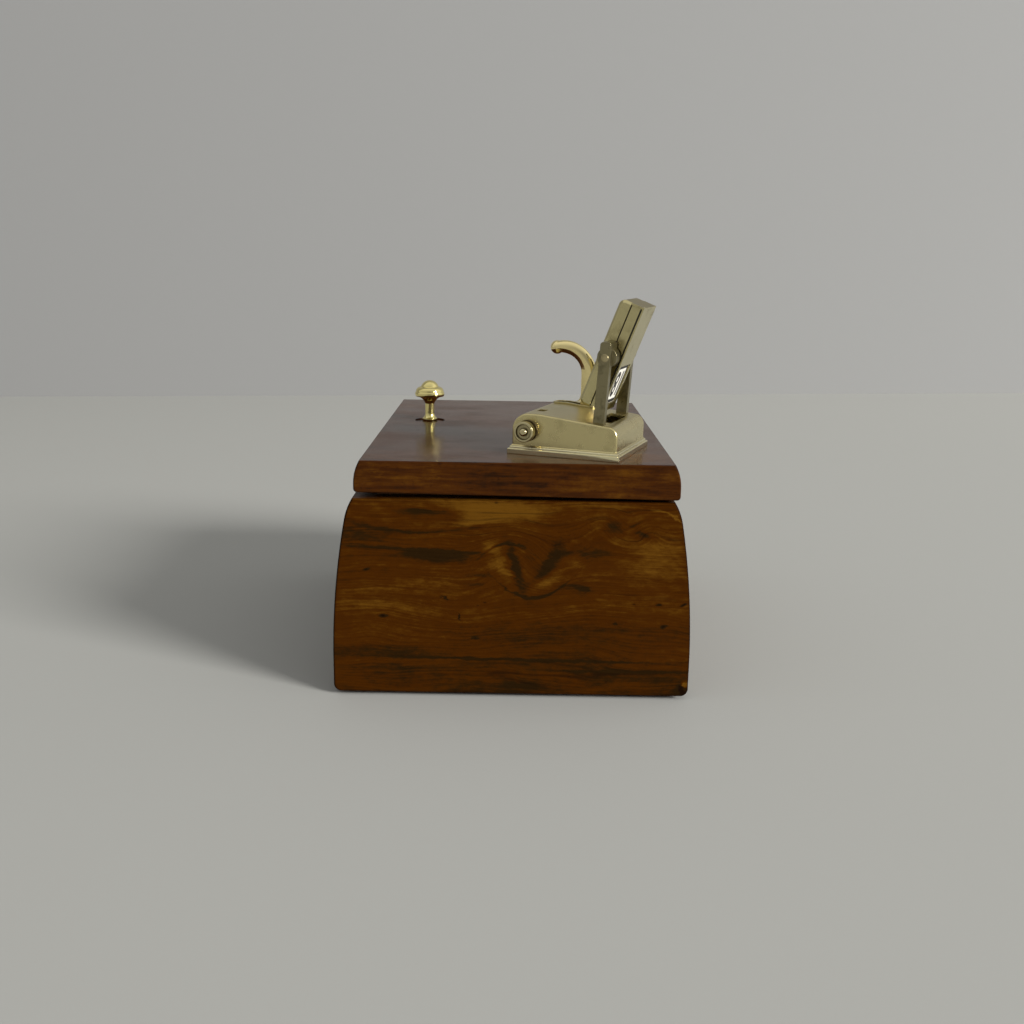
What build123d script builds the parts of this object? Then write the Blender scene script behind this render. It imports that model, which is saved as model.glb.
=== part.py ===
"""Wooden calendar box: a bowed hardwood box whose hinged lid carries a brass flip calendar.

The box stands on its felt base with +Z up and the origin in the middle of the base. The lid
knob is on the -X side and the hinges are on the +X side. The calendar has a frame of its own
on the lid, turned about Z: there x runs along its near side, y goes away from that side and
z is the height above the lid. All sizes are in millimetres and all angles in degrees.
"""
from build123d import *
import math
import os

os.makedirs("parts", exist_ok=True)

# Body of the box
BOX_LENGTH = 170.0
BODY_WIDTH = 140.0
BODY_HEIGHT = 78.3
WIDEST_HEIGHT = 13.0
BOW_RADIUS = 312.0
SHOULDER_HEIGHT = 8.3
SHOULDER_RADIUS = 25.0
FOOT_ROUNDING = 3.0
END_THICKNESS = 9.0
SIDE_THICKNESS = 17.0
BOTTOM_THICKNESS = 6.0
EDGE_EASING = 0.7

# Linings and felts
LINER_THICKNESS = 2.4
LINER_PLAY = 0.2
BASE_FELT_THICKNESS = 1.5
BASE_FELT_INSET = 4.5
INNER_FELT_THICKNESS = 1.0

# Lid
LID_FRONT_INSET = 0.6
LID_REAR_OVERHANG = 1.7
LID_SIDE_LEAN = 2.35
LID_FRONT_THICKNESS = 12.3
LID_REAR_THICKNESS = 13.6
LID_WIDEST_DROP = 9.0
LID_CORNER_ROUNDING = 1.4
LID_REAR_GAP = 1.1

# Butt hinges
HINGE_SPACING = 90.0
HINGE_LENGTH = 24.0
HINGE_LEAF_MARGIN = 1.5
LEAF_THICKNESS = 0.9
BARREL_RADIUS = 1.5
HINGE_PIN_RADIUS = 0.8
BARREL_SINK = 0.1
HINGE_SCREW_SPACING = 14.0
HINGE_SCREW_LENGTH = 8.0
HINGE_SCREW_RADIUS = 0.8
HINGE_SCREW_HEAD_RADIUS = 1.7

# Running and moving clearances, and how far a cutting solid runs past what it cuts
RUNNING_CLEARANCE = 0.05
MOVING_GAP = 0.3
CUT_PAST = 1.0

# Lid knob
KNOB_FROM_FRONT = 21.3
KNOB_Y = 16.3
KNOB_FOOT_RADIUS = 3.4
KNOB_NECK_RADIUS = 2.1
KNOB_HEAD_RADIUS = 6.8
KNOB_CAP_RADIUS = 4.0
KNOB_RIM_LOW = 11.2
KNOB_RIM_HIGH = 13.4
KNOB_CAP_FOOT = 15.5
KNOB_HEIGHT = 18.5
KNOB_COVE_LOW = 0.9
KNOB_COVE_HIGH = 3.6
KNOB_COVE_SAG = 0.4
KNOB_FLARE_DROP = 3.4
KNOB_FLARE_SAG = 0.8
KNOB_RIM_ROUNDING = 0.4
KNOB_HEAD_SAG = 0.6
KNOB_CAP_STEP = 0.3
KNOB_RECESS_RADIUS = 6.9
KNOB_RECESS_DEPTH = 0.6
KNOB_SCREW_RADIUS = 1.3
KNOB_SCREW_HEAD_RADIUS = 3.0
KNOB_SCREW_DEPTH = 6.0
KNOB_WASHER_RADIUS = 4.4
KNOB_WASHER_THICKNESS = 0.7

# Calendar: place on the lid, and plinth
CALENDAR_X = -3.0
CALENDAR_FROM_END = 19.9
CALENDAR_TURN = -21.04
PLINTH_LENGTH = 45.6
PLINTH_DEPTH = 42.6
PLINTH_SLAB = 2.2
PLINTH_STEP = 0.9
PLINTH_STEP_INSET = 0.7
PLINTH_EDGE_RADIUS = 0.3
PLINTH_SCREW_INSET = 9.0
PLINTH_SCREW_RADIUS = 1.3
PLINTH_SCREW_HEAD_RADIUS = 2.6
PLINTH_SCREW_BITE = 2.2

# Calendar housing
HOUSING_INSET = 1.4
HOUSING_WALL = 1.2
HOUSING_FLARE = 0.4
HOUSING_FLARE_HEIGHT = 0.5
HOUSING_NOSE_RADIUS = 6.6
HOUSING_NOSE_HEIGHT = 16.1
HOUSING_FLAT_LENGTH = 4.7
HOUSING_TAIL_HEIGHT = 13.1
HOUSING_TAIL_RADIUS = 4.0
HOUSING_EDGE_RADIUS = 0.8
LUG_RADIUS = 1.6
LUG_INSET = 2.6
LUG_HEIGHT = 3.0
LUG_BITE = 2.4
LUG_SCREW_RADIUS = 0.7
LUG_SCREW_HEAD_RADIUS = 1.4

# Openings in the housing's top
MONTH_WINDOW_START = 9.9
MONTH_WINDOW_LENGTH = 5.2
MONTH_WINDOW_WIDTH = 3.4
TAIL_OPENING_MARGIN = 1.0
TAIL_OPENING_WIDTH = 6.6
TAIL_OPENING_LENGTH = 22.0

# Month drum and its setting knob
SHAFT_RADIUS = 1.2
DRUM_RADIUS = 4.8
DRUM_START = 7.5
DRUM_LENGTH = 24.5
BAND_THICKNESS = 0.25
BAND_LENGTH = 10.0
BUSH_RADIUS = 2.2
BUSH_LENGTH = 3.2
BUSH_FLANGE_RADIUS = 4.2
BUSH_FLANGE_THICKNESS = 0.5
RATCHET_TEETH = 12
RATCHET_RADIUS = 4.4
RATCHET_TOOTH_DEPTH = 0.8
RATCHET_THICKNESS = 1.5
SETTING_KNOB_RADIUS = 4.0
SETTING_KNOB_THICKNESS = 2.9
SETTING_HUB_LENGTH = 1.3
SETTING_HUB_RADIUS = 2.8
SETTING_RIM_WIDTH = 0.9
SETTING_DISH_DEPTH = 0.8
SETTING_NUT_RADIUS = 1.5
SETTING_NUT_THICKNESS = 1.0
SETTING_NUT_ROUNDING = 0.8

# Posts and pivot
PIVOT_FROM_TAIL = 6.8
PIVOT_HEIGHT = 38.8
POST_INSET = 2.6
POST_WIDTH = 4.3
POST_THICKNESS = 3.0
POST_LEAN = 3.7
POST_ABOVE_PIVOT = 6.0
POST_TOP_ROUNDING = 1.2
POST_BOSS_RADIUS = 3.9
POST_SCREW_RADIUS = 0.9
POST_SCREW_HEAD_RADIUS = 1.7
POST_SCREW_LENGTH = 5.0
POST_SCREW_HEAD = 0.9
PIVOT_SCREW_RADIUS = 1.0
PIVOT_HEAD_RADIUS = 1.5
PIVOT_BITE = 3.4

# Flip casing
CASING_LENGTH = 43.6
CASING_WIDTH = 18.0
CASING_TILT = 21.2
SHELL_FRONT = -5.1
SHELL_THICKNESS = 4.7
SHELL_WALL = 0.8
SHELL_CHAMFER = 1.0
SHELL_END_ROUNDING = 2.4
CORE_THICKNESS = 4.7
CORE_INSET = 0.8
CORE_WALL = 0.8
BACK_THICKNESS = 0.6
WINDOW_MARGIN = 2.0
WINDOW_FROM_END = 3.0
WINDOW_LENGTH = 16.2
CARD_THICKNESS = 0.35
CARD_MARGIN = 0.3
SPARE_CARDS = 6
SPARE_CARD_GAP = 0.25
CASING_BUSH_RADIUS = 2.0
CASING_BUSH_LENGTH = 3.6

# Horn lever
LEVER_DEPTH_PLACE = 36.9
LEVER_PIVOT_X = 20.5
LEVER_PIVOT_HEIGHT = 9.0
LEVER_PIN_RADIUS = 1.0
LEVER_HUB_RADIUS = 2.5
LEVER_HUB_LENGTH = 3.4
LEVER_NECK_WIDTH = 4.6
LEVER_NECK_THICKNESS = 2.8
LEVER_STEM_TOP = 28.2
LEVER_STEM_X = 21.2
LEVER_BEND_RADIUS = 11.2
LEVER_BEND_ANGLE = 104.5
LEVER_BEND_STEPS = 5
LEVER_FOOT_HEIGHT = 17.2
LEVER_FOOT_HALF_WIDTH = 4.0
LEVER_FOOT_SHIFT = 1.6
LEVER_WAIST_SHARE = 0.35
LEVER_STEM_HALF_WIDTH = 3.2
LEVER_TIP_HALF_WIDTH = 2.5
LEVER_STEM_HALF_DEPTH = 1.6
LEVER_THUMB_HALF_DEPTH = 2.9
LEVER_BULB_RADIUS = 2.8
LEVER_ARM_THICKNESS = 1.6
SLOT_NEAR_END = 7.2
SLOT_LENGTH = 17.2
SLOT_WIDTH = 4.0
ESCUTCHEON_RIM = 1.0
ESCUTCHEON_THICKNESS = 0.7
BRACKET_THICKNESS = 0.8
BRACKET_EAR_WIDTH = 6.0
SPRING_RADIUS = 0.85
SPRING_WIRE_RADIUS = 0.18
SPRING_TURNS = 4
SPRING_OFFSET = 4.4

# Places that follow from the sizes above
BODY_BOTTOM = BASE_FELT_THICKNESS
BODY_TOP = BODY_BOTTOM + BODY_HEIGHT
SHOULDER_ANGLE = math.asin((BODY_HEIGHT - WIDEST_HEIGHT - SHOULDER_HEIGHT) / BOW_RADIUS)
SHOULDER_X = BODY_WIDTH / 2 - BOW_RADIUS * (1 - math.cos(SHOULDER_ANGLE))
TOP_ANGLE = math.asin(math.sin(SHOULDER_ANGLE) + SHOULDER_HEIGHT / SHOULDER_RADIUS)
BODY_TOP_X = SHOULDER_X - SHOULDER_RADIUS * (math.cos(SHOULDER_ANGLE) - math.cos(TOP_ANGLE))
LID_TOP = BODY_TOP + LID_REAR_GAP + LID_REAR_THICKNESS
LID_FRONT_X = LID_FRONT_INSET - BODY_TOP_X
LID_REAR_X = BODY_TOP_X + LID_REAR_OVERHANG
KNOB_X = LID_FRONT_X + KNOB_FROM_FRONT
CALENDAR_Y = CALENDAR_FROM_END - BOX_LENGTH / 2
CAVITY_X = BODY_WIDTH / 2 - SIDE_THICKNESS
CAVITY_Y = BOX_LENGTH / 2 - END_THICKNESS
FLOOR_TOP = BODY_BOTTOM + BOTTOM_THICKNESS
HINGE_X = BODY_TOP_X + BARREL_RADIUS - BARREL_SINK
HINGE_Z = BODY_TOP + LID_REAR_GAP / 2
HINGE_REACH = HINGE_X - CAVITY_X - HINGE_LEAF_MARGIN
PLINTH_TOP = PLINTH_SLAB + PLINTH_STEP
HOUSING_NEAR = HOUSING_INSET
HOUSING_FAR = PLINTH_DEPTH - HOUSING_INSET
HOUSING_NOSE = HOUSING_INSET
HOUSING_TAIL = PLINTH_LENGTH - HOUSING_INSET
PIVOT_X = HOUSING_TAIL - PIVOT_FROM_TAIL
DRUM_X = HOUSING_NOSE + HOUSING_NOSE_RADIUS
DRUM_HEIGHT = HOUSING_NOSE_HEIGHT - HOUSING_NOSE_RADIUS
NEAR_POST_FACE = HOUSING_NEAR + POST_INSET
FAR_POST_FACE = HOUSING_FAR - POST_INSET
CASING_MIDDLE = (HOUSING_NEAR + HOUSING_FAR) / 2
CASING_NEAR = CASING_MIDDLE - CASING_WIDTH / 2
SHELL_BACK = SHELL_FRONT + SHELL_THICKNESS
CORE_BACK = SHELL_BACK + CORE_THICKNESS
CASING_BACK = CORE_BACK + BACK_THICKNESS

parts = {}


def block(low, high):
    """Return the box between two corners."""
    middle = [(a + b) / 2 for a, b in zip(low, high)]
    return Pos(*middle) * Box(*[b - a for a, b in zip(low, high)])


def upright(x, y, radius, low, high):
    """Return a round bar along Z between two heights."""
    return Pos(x, y, (low + high) / 2) * Cylinder(radius, high - low)


def cross_bar(x, z, radius, near, far):
    """Return a round bar along Y between two places."""
    return Pos(x, (near + far) / 2, z) * Rot(90, 0, 0) * Cylinder(radius, far - near)


def countersunk_screw(radius, head_radius, length):
    """Return a screw with its flat head at the origin and its shank along -Z."""
    head_depth = head_radius - radius
    head = Pos(0, 0, -head_depth / 2) * Cone(radius, head_radius, head_depth)
    return head + upright(0, 0, radius, -length, -head_depth / 2)


def cheese_screw(radius, head_radius, head_depth, length):
    """Return a screw whose round head lies below the origin and whose shank is along +Z."""
    return upright(0, 0, head_radius, -head_depth, 0) + upright(0, 0, radius, -head_depth / 2, length)


def ring(x, z, outer, inner, near, far):
    """Return a tube along Y."""
    return cross_bar(x, z, outer, near, far) - cross_bar(x, z, inner, near - CUT_PAST, far + CUT_PAST)


def turned(profile_edges):
    """Return the solid that a closed profile in the XZ plane makes when it turns about Z."""
    return revolve(make_face(profile_edges), axis=Axis.Z)


def lid_under(x):
    """Return the height of the lid's underside, which slopes from front to rear."""
    share = (x - LID_FRONT_X) / (LID_REAR_X - LID_FRONT_X)
    return LID_TOP - LID_FRONT_THICKNESS - share * (LID_REAR_THICKNESS - LID_FRONT_THICKNESS)


def end_face_edges(shape):
    """Return the edges of a shape's two end faces along Y."""
    faces = shape.faces().sort_by(Axis.Y)
    return faces[0].edges() + faces[-1].edges()


def quarter_arc(start, end, corner):
    """Return the round that replaces a square corner, in the XZ plane."""
    centre = (start[0] + end[0] - corner[0], start[1] + end[1] - corner[1])
    reach = math.sqrt(0.5)
    middle = [c + (k - c) * reach for c, k in zip(centre, corner)]
    return ThreePointArc((start[0], 0, start[1]), (middle[0], 0, middle[1]), (end[0], 0, end[1]))


def dome_arc(radius, low, top):
    """Return a dome's profile in the XZ plane, from its edge to its top on the Z axis."""
    rise = top - low
    sphere = (radius**2 + rise**2) / (2 * rise)
    half_angle = math.asin(radius / sphere) / 2
    middle = (sphere * math.sin(half_angle), 0, top - sphere * (1 - math.cos(half_angle)))
    return ThreePointArc((radius, 0, low), middle, (0, 0, top))


def bow_point(height):
    """Return the outline's half width at a height above the wood's bottom, on the bow."""
    return BODY_WIDTH / 2 - BOW_RADIUS + math.sqrt(BOW_RADIUS**2 - (height - WIDEST_HEIGHT) ** 2)


def body_outline():
    """Return the body's end outline in the XZ plane: straight foot, long bow, rounded shoulder."""
    half = BODY_WIDTH / 2
    foot = FOOT_ROUNDING
    shoulder = BODY_TOP - SHOULDER_HEIGHT
    bow_middle = (WIDEST_HEIGHT + BODY_HEIGHT - SHOULDER_HEIGHT) / 2
    mid_angle = (SHOULDER_ANGLE + TOP_ANGLE) / 2
    mid_x = SHOULDER_X - SHOULDER_RADIUS * (math.cos(SHOULDER_ANGLE) - math.cos(mid_angle))
    mid_z = shoulder + SHOULDER_RADIUS * (math.sin(mid_angle) - math.sin(SHOULDER_ANGLE))
    right = [
        Line((0, 0, BODY_BOTTOM), (half - foot, 0, BODY_BOTTOM)),
        quarter_arc((half - foot, BODY_BOTTOM), (half, BODY_BOTTOM + foot), (half, BODY_BOTTOM)),
        Line((half, 0, BODY_BOTTOM + foot), (half, 0, BODY_BOTTOM + WIDEST_HEIGHT)),
        ThreePointArc(
            (half, 0, BODY_BOTTOM + WIDEST_HEIGHT),
            (bow_point(bow_middle), 0, BODY_BOTTOM + bow_middle),
            (SHOULDER_X, 0, shoulder),
        ),
        ThreePointArc((SHOULDER_X, 0, shoulder), (mid_x, 0, mid_z), (BODY_TOP_X, 0, BODY_TOP)),
        Line((BODY_TOP_X, 0, BODY_TOP), (0, 0, BODY_TOP)),
    ]
    left = [edge.mirror(Plane.YZ) for edge in right]
    return make_face(right + left)


def pair(shapes):
    """Return several separate solids as one group."""
    return Compound(children=[solid for shape in shapes for solid in shape.solids()])


def make_body():
    """Build the end panels, the bowed walls and the bottom board."""
    outline = body_outline()
    end = extrude(outline, amount=END_THICKNESS, dir=(0, 1, 0))
    near_edges = end.faces().sort_by(Axis.Y)[0].edges()
    end = fillet(near_edges - near_edges.group_by(Axis.Z)[0], EDGE_EASING)
    parts["right_end_panel"] = Pos(0, -BOX_LENGTH / 2, 0) * end
    parts["left_end_panel"] = parts["right_end_panel"].mirror(Plane.XZ)
    full = Pos(0, -CAVITY_Y, 0) * extrude(outline, amount=2 * CAVITY_Y, dir=(0, 1, 0))
    reach = BODY_WIDTH
    rear = full & block((CAVITY_X, -CAVITY_Y, 0), (reach, CAVITY_Y, LID_TOP))
    parts["front_wall"] = rear.mirror(Plane.YZ)
    parts["rear_wall"] = rear
    parts["bottom_board"] = block(
        (-CAVITY_X, -CAVITY_Y, BODY_BOTTOM), (CAVITY_X, CAVITY_Y, FLOOR_TOP)
    )


def make_linings():
    """Build the thin boards inside the body, up to the closed lid, and the felts."""
    low = FLOOR_TOP + INNER_FELT_THICKNESS
    x, y = CAVITY_X, CAVITY_Y
    above = LID_TOP
    under_lid = extrude(
        make_face(
            Polyline(
                (-x, 0, low),
                (x, 0, low),
                (x, 0, lid_under(x) - LINER_PLAY),
                (-x, 0, lid_under(-x) - LINER_PLAY),
                close=True,
            )
        ),
        amount=y,
        dir=(0, 1, 0),
        both=True,
    )
    inner_x, inner_y = x - LINER_THICKNESS, y - LINER_THICKNESS
    parts["front_liner"] = under_lid & block((-x, -y, low), (-inner_x, y, above))
    parts["rear_liner"] = under_lid & block((inner_x, -y, low), (x, y, above))
    parts["right_liner"] = under_lid & block((-inner_x, -y, low), (inner_x, -inner_y, above))
    parts["left_liner"] = under_lid & block((-inner_x, inner_y, low), (inner_x, y, above))
    parts["bottom_felt"] = block((-x, -y, FLOOR_TOP), (x, y, low))
    felt_x = BODY_WIDTH / 2 - BASE_FELT_INSET
    felt_y = BOX_LENGTH / 2 - BASE_FELT_INSET
    parts["base_felt"] = block((-felt_x, -felt_y, 0), (felt_x, felt_y, BASE_FELT_THICKNESS))


def lid_outline():
    """Return the lid's end outline in the XZ plane, with its leaning sides and sloped underside."""
    lean = LID_SIDE_LEAN
    radius = (LID_WIDEST_DROP**2 + lean**2) / (2 * lean)
    mid_drop = LID_WIDEST_DROP / 2
    mid_lean = radius - math.sqrt(radius**2 - mid_drop**2)
    middle = (LID_FRONT_X + LID_REAR_X) / 2
    corner = LID_CORNER_ROUNDING
    edges = []
    for side, edge_x in ((-1, LID_FRONT_X), (1, LID_REAR_X)):
        under = lid_under(edge_x)
        inner_x = edge_x - side * corner
        widest = LID_TOP - LID_WIDEST_DROP
        edges += [
            ThreePointArc(
                (edge_x - side * lean, 0, LID_TOP),
                (edge_x - side * mid_lean, 0, LID_TOP - mid_drop),
                (edge_x, 0, widest),
            ),
            Line((edge_x, 0, widest), (edge_x, 0, under + corner)),
            quarter_arc((edge_x, under + corner), (inner_x, under), (edge_x, under)),
            Line((inner_x, 0, under), (middle, 0, lid_under(middle))),
            Line((middle, 0, LID_TOP), (edge_x - side * lean, 0, LID_TOP)),
        ]
    return make_face(edges)


def on_calendar(shape):
    """Move a shape from the calendar's own frame to its place on the lid."""
    return Location((CALENDAR_X, CALENDAR_Y, LID_TOP), (0, 0, CALENDAR_TURN)) * shape


def plinth_screws():
    """Return the screws that come up through the lid into the calendar's plinth."""
    screws = []
    length = PLINTH_SCREW_BITE + LID_TOP - lid_under(CALENDAR_X + PLINTH_LENGTH / 2)
    for x in (PLINTH_SCREW_INSET, PLINTH_LENGTH - PLINTH_SCREW_INSET):
        for y in (PLINTH_SCREW_INSET, PLINTH_DEPTH - PLINTH_SCREW_INSET):
            screw = countersunk_screw(PLINTH_SCREW_RADIUS, PLINTH_SCREW_HEAD_RADIUS, length)
            spot = on_calendar(Pos(x, y, 0) * screw).center()
            low = lid_under(spot.X) + MOVING_GAP
            screws.append(Pos(spot.X, spot.Y, low) * Rot(180, 0, 0) * screw)
    return screws


def make_lid():
    """Build the lid board with its knob, and the knob's washer and screw."""
    half = BOX_LENGTH / 2
    board = Pos(0, -half, 0) * extrude(lid_outline(), amount=BOX_LENGTH, dir=(0, 1, 0))
    end_edges = end_face_edges(board)
    board = fillet(end_edges.filter_by(lambda e: e.center().Z > LID_TOP - LID_WIDEST_DROP), EDGE_EASING)
    under = lid_under(KNOB_X)
    recess_floor = LID_TOP - KNOB_RECESS_DEPTH
    washer_floor = under + KNOB_WASHER_THICKNESS + KNOB_SCREW_HEAD_RADIUS - KNOB_SCREW_RADIUS
    screw = countersunk_screw(
        KNOB_SCREW_RADIUS, KNOB_SCREW_HEAD_RADIUS, recess_floor - under + KNOB_SCREW_DEPTH
    )
    screw = Pos(KNOB_X, KNOB_Y, under + MOVING_GAP) * Rot(180, 0, 0) * screw
    washer = upright(KNOB_X, KNOB_Y, KNOB_WASHER_RADIUS, under + MOVING_GAP, washer_floor)
    knob = Pos(KNOB_X, KNOB_Y, recess_floor) * lid_knob()
    board -= upright(KNOB_X, KNOB_Y, KNOB_RECESS_RADIUS, recess_floor, LID_TOP + CUT_PAST)
    board -= upright(KNOB_X, KNOB_Y, KNOB_WASHER_RADIUS, under - CUT_PAST, washer_floor)
    board -= screw
    for fastener in plinth_screws():
        seat = fastener.bounding_box().min.Z
        board -= fastener
        spot = fastener.center()
        board -= upright(spot.X, spot.Y, PLINTH_SCREW_HEAD_RADIUS, seat - CUT_PAST, seat)
    parts["lid_board"] = board
    parts["lid_knob"] = knob - screw
    parts["lid_knob_washer"] = washer - screw
    parts["lid_knob_screw"] = screw
    parts["plinth_screws"] = pair(plinth_screws())


def sagged_arc(start, end, sag):
    """Return an arc in the XZ plane that stands off its chord by the sag, to the left of its way."""
    run, rise = end[0] - start[0], end[1] - start[1]
    chord = math.hypot(run, rise)
    middle_x = (start[0] + end[0]) / 2 - sag * rise / chord
    middle_z = (start[1] + end[1]) / 2 + sag * run / chord
    return ThreePointArc((start[0], 0, start[1]), (middle_x, 0, middle_z), (end[0], 0, end[1]))


def lid_knob():
    """Return the turned knob, standing on the recess floor: foot, neck, wide head and cap."""
    rise = KNOB_RECESS_DEPTH
    rim_x = KNOB_HEAD_RADIUS - KNOB_RIM_ROUNDING
    foot_top = (KNOB_FOOT_RADIUS, rise + KNOB_COVE_LOW)
    neck_low = (KNOB_NECK_RADIUS, rise + KNOB_COVE_HIGH)
    neck_high = (KNOB_NECK_RADIUS, rise + KNOB_RIM_LOW - KNOB_FLARE_DROP)
    rim_low = (rim_x, rise + KNOB_RIM_LOW)
    rim_high = (rim_x, rise + KNOB_RIM_HIGH)
    cap_foot = (KNOB_CAP_RADIUS + KNOB_CAP_STEP, rise + KNOB_CAP_FOOT)
    cap_edge = (KNOB_CAP_RADIUS, cap_foot[1] + KNOB_CAP_STEP)
    top = rise + KNOB_HEIGHT
    edges = [
        Line((0, 0, 0), (KNOB_FOOT_RADIUS, 0, 0)),
        Line((KNOB_FOOT_RADIUS, 0, 0), (foot_top[0], 0, foot_top[1])),
        sagged_arc(foot_top, neck_low, KNOB_COVE_SAG),
        Line((neck_low[0], 0, neck_low[1]), (neck_high[0], 0, neck_high[1])),
        sagged_arc(neck_high, rim_low, KNOB_FLARE_SAG),
        sagged_arc(rim_low, rim_high, -KNOB_RIM_ROUNDING),
        sagged_arc(rim_high, cap_foot, -KNOB_HEAD_SAG),
        Line((cap_foot[0], 0, cap_foot[1]), (cap_edge[0], 0, cap_edge[1])),
        dome_arc(*cap_edge, top),
        Line((0, 0, top), (0, 0, 0)),
    ]
    return turned(edges)


def hinge_bar(radius, span):
    """Return a round bar on the hinges' axis."""
    return cross_bar(HINGE_X, HINGE_Z, radius, *span)


def hinge_leaf(low, span, knuckles, rooms):
    """Return one leaf: its plate with its own knuckles, cut for the other leaf's and the pin."""
    near, far = span
    plate = block((HINGE_X - HINGE_REACH, near, low), (HINGE_X, far, low + LEAF_THICKNESS))
    leaf = plate - [hinge_bar(BARREL_RADIUS + MOVING_GAP, room) for room in rooms]
    leaf += [hinge_bar(BARREL_RADIUS, knuckle) for knuckle in knuckles]
    return leaf - hinge_bar(HINGE_PIN_RADIUS + RUNNING_CLEARANCE, (near - CUT_PAST, far + CUT_PAST))


def make_hinges():
    """Build both butt hinges with their screws, and cut their seats in the wood."""
    leaves = {"box": [], "lid": []}
    screws = {"box": [], "lid": []}
    pins = []
    half_gap = MOVING_GAP / 2
    lid_seat = HINGE_Z + LID_REAR_GAP / 2
    screw_x = HINGE_X - HINGE_REACH / 2 - BARREL_RADIUS
    shape = countersunk_screw(HINGE_SCREW_RADIUS, HINGE_SCREW_HEAD_RADIUS, HINGE_SCREW_LENGTH)
    for middle in (-HINGE_SPACING / 2, HINGE_SPACING / 2):
        near, far = middle - HINGE_LENGTH / 2, middle + HINGE_LENGTH / 2
        split_near, split_far = middle - HINGE_LENGTH / 6, middle + HINGE_LENGTH / 6
        outer = ((near, split_near - half_gap), (split_far + half_gap, far))
        inner = ((split_near + half_gap, split_far - half_gap),)
        outer_room = ((near - CUT_PAST, split_near + half_gap), (split_far - half_gap, far + CUT_PAST))
        inner_room = ((split_near - half_gap, split_far + half_gap),)
        box_leaf = hinge_leaf(BODY_TOP - LEAF_THICKNESS, (near, far), outer, inner_room)
        lid_leaf = hinge_leaf(lid_seat, (near, far), inner, outer_room)
        plate = block((HINGE_X - HINGE_REACH, near, BODY_TOP - LEAF_THICKNESS), (HINGE_X, far, BODY_TOP))
        seat = block(
            (HINGE_X - HINGE_REACH, near, BODY_TOP), (LID_REAR_X + CUT_PAST, far, lid_seat + LEAF_THICKNESS)
        )
        barrel_room = hinge_bar(BARREL_RADIUS + MOVING_GAP, (near - MOVING_GAP, far + MOVING_GAP))
        parts["rear_wall"] = parts["rear_wall"] - plate - barrel_room
        parts["lid_board"] = parts["lid_board"] - seat - barrel_room
        for offset in (-HINGE_SCREW_SPACING / 2, HINGE_SCREW_SPACING / 2):
            down = Pos(screw_x, middle + offset, BODY_TOP) * shape
            up = Pos(screw_x, middle + offset, lid_seat) * Rot(180, 0, 0) * shape
            box_leaf -= down
            lid_leaf -= up
            parts["rear_wall"] = parts["rear_wall"] - down
            parts["lid_board"] = parts["lid_board"] - up
            screws["box"].append(down)
            screws["lid"].append(up)
        leaves["box"].append(box_leaf)
        leaves["lid"].append(lid_leaf)
        pins.append(hinge_bar(HINGE_PIN_RADIUS, (near, far)))
    parts["hinge_box_leaves"] = pair(leaves["box"])
    parts["hinge_lid_leaves"] = pair(leaves["lid"])
    parts["hinge_pins"] = pair(pins)
    parts["hinge_box_screws"] = pair(screws["box"])
    parts["hinge_lid_screws"] = pair(screws["lid"])


def housing_profile():
    """Return the housing's side outline: round nose, short flat, long slope and rounded tail."""
    nose_r, tail_r = HOUSING_NOSE_RADIUS, HOUSING_TAIL_RADIUS
    top_start = (DRUM_X, HOUSING_NOSE_HEIGHT)
    flat_end = (DRUM_X + HOUSING_FLAT_LENGTH, HOUSING_NOSE_HEIGHT)
    slope_end = (HOUSING_TAIL - tail_r, HOUSING_TAIL_HEIGHT)
    tail_low = (HOUSING_TAIL, HOUSING_TAIL_HEIGHT - tail_r)
    low = PLINTH_TOP
    edges = [
        Line((HOUSING_NOSE, 0, low), (HOUSING_NOSE, 0, DRUM_HEIGHT)),
        quarter_arc((HOUSING_NOSE, DRUM_HEIGHT), top_start, (HOUSING_NOSE, HOUSING_NOSE_HEIGHT)),
        Line((top_start[0], 0, top_start[1]), (flat_end[0], 0, flat_end[1])),
        Line((flat_end[0], 0, flat_end[1]), (slope_end[0], 0, slope_end[1])),
        quarter_arc(slope_end, tail_low, (HOUSING_TAIL, HOUSING_TAIL_HEIGHT)),
        Line((tail_low[0], 0, tail_low[1]), (HOUSING_TAIL, 0, low)),
        Line((HOUSING_TAIL, 0, low), (HOUSING_NOSE, 0, low)),
    ]
    return make_face(edges)


def housing_block():
    """Return the housing's outer form, unhollowed, with its rounded side edges."""
    solid = Pos(0, HOUSING_NEAR, 0) * extrude(
        housing_profile(), amount=HOUSING_FAR - HOUSING_NEAR, dir=(0, 1, 0)
    )
    edges = end_face_edges(solid)
    return fillet(edges - edges.group_by(Axis.Z)[0], HOUSING_EDGE_RADIUS)


def top_height(x):
    """Return the height of the housing's top above the lid at a place along the calendar."""
    flat_end = DRUM_X + HOUSING_FLAT_LENGTH
    slope_end = HOUSING_TAIL - HOUSING_TAIL_RADIUS
    share = (x - flat_end) / (slope_end - flat_end)
    return HOUSING_NOSE_HEIGHT - max(0.0, share) * (HOUSING_NOSE_HEIGHT - HOUSING_TAIL_HEIGHT)


def slot_shape(grow, low, high):
    """Return the lever's slot as an upright solid with round ends, grown all round."""
    width = SLOT_WIDTH + 2 * grow
    length = SLOT_LENGTH + 2 * grow
    face = SlotOverall(length, width)
    return Pos(SLOT_NEAR_END + SLOT_LENGTH / 2, LEVER_DEPTH_PLACE, low) * extrude(face, amount=high - low)


def lug_places():
    """Return the middles of the housing's screw lugs, in three of its corners."""
    near, far = HOUSING_NEAR + LUG_INSET, HOUSING_FAR - LUG_INSET
    left, right = HOUSING_NOSE + LUG_INSET, HOUSING_TAIL - LUG_INSET
    return [(left, near), (right, near), (right, far)]


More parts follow.
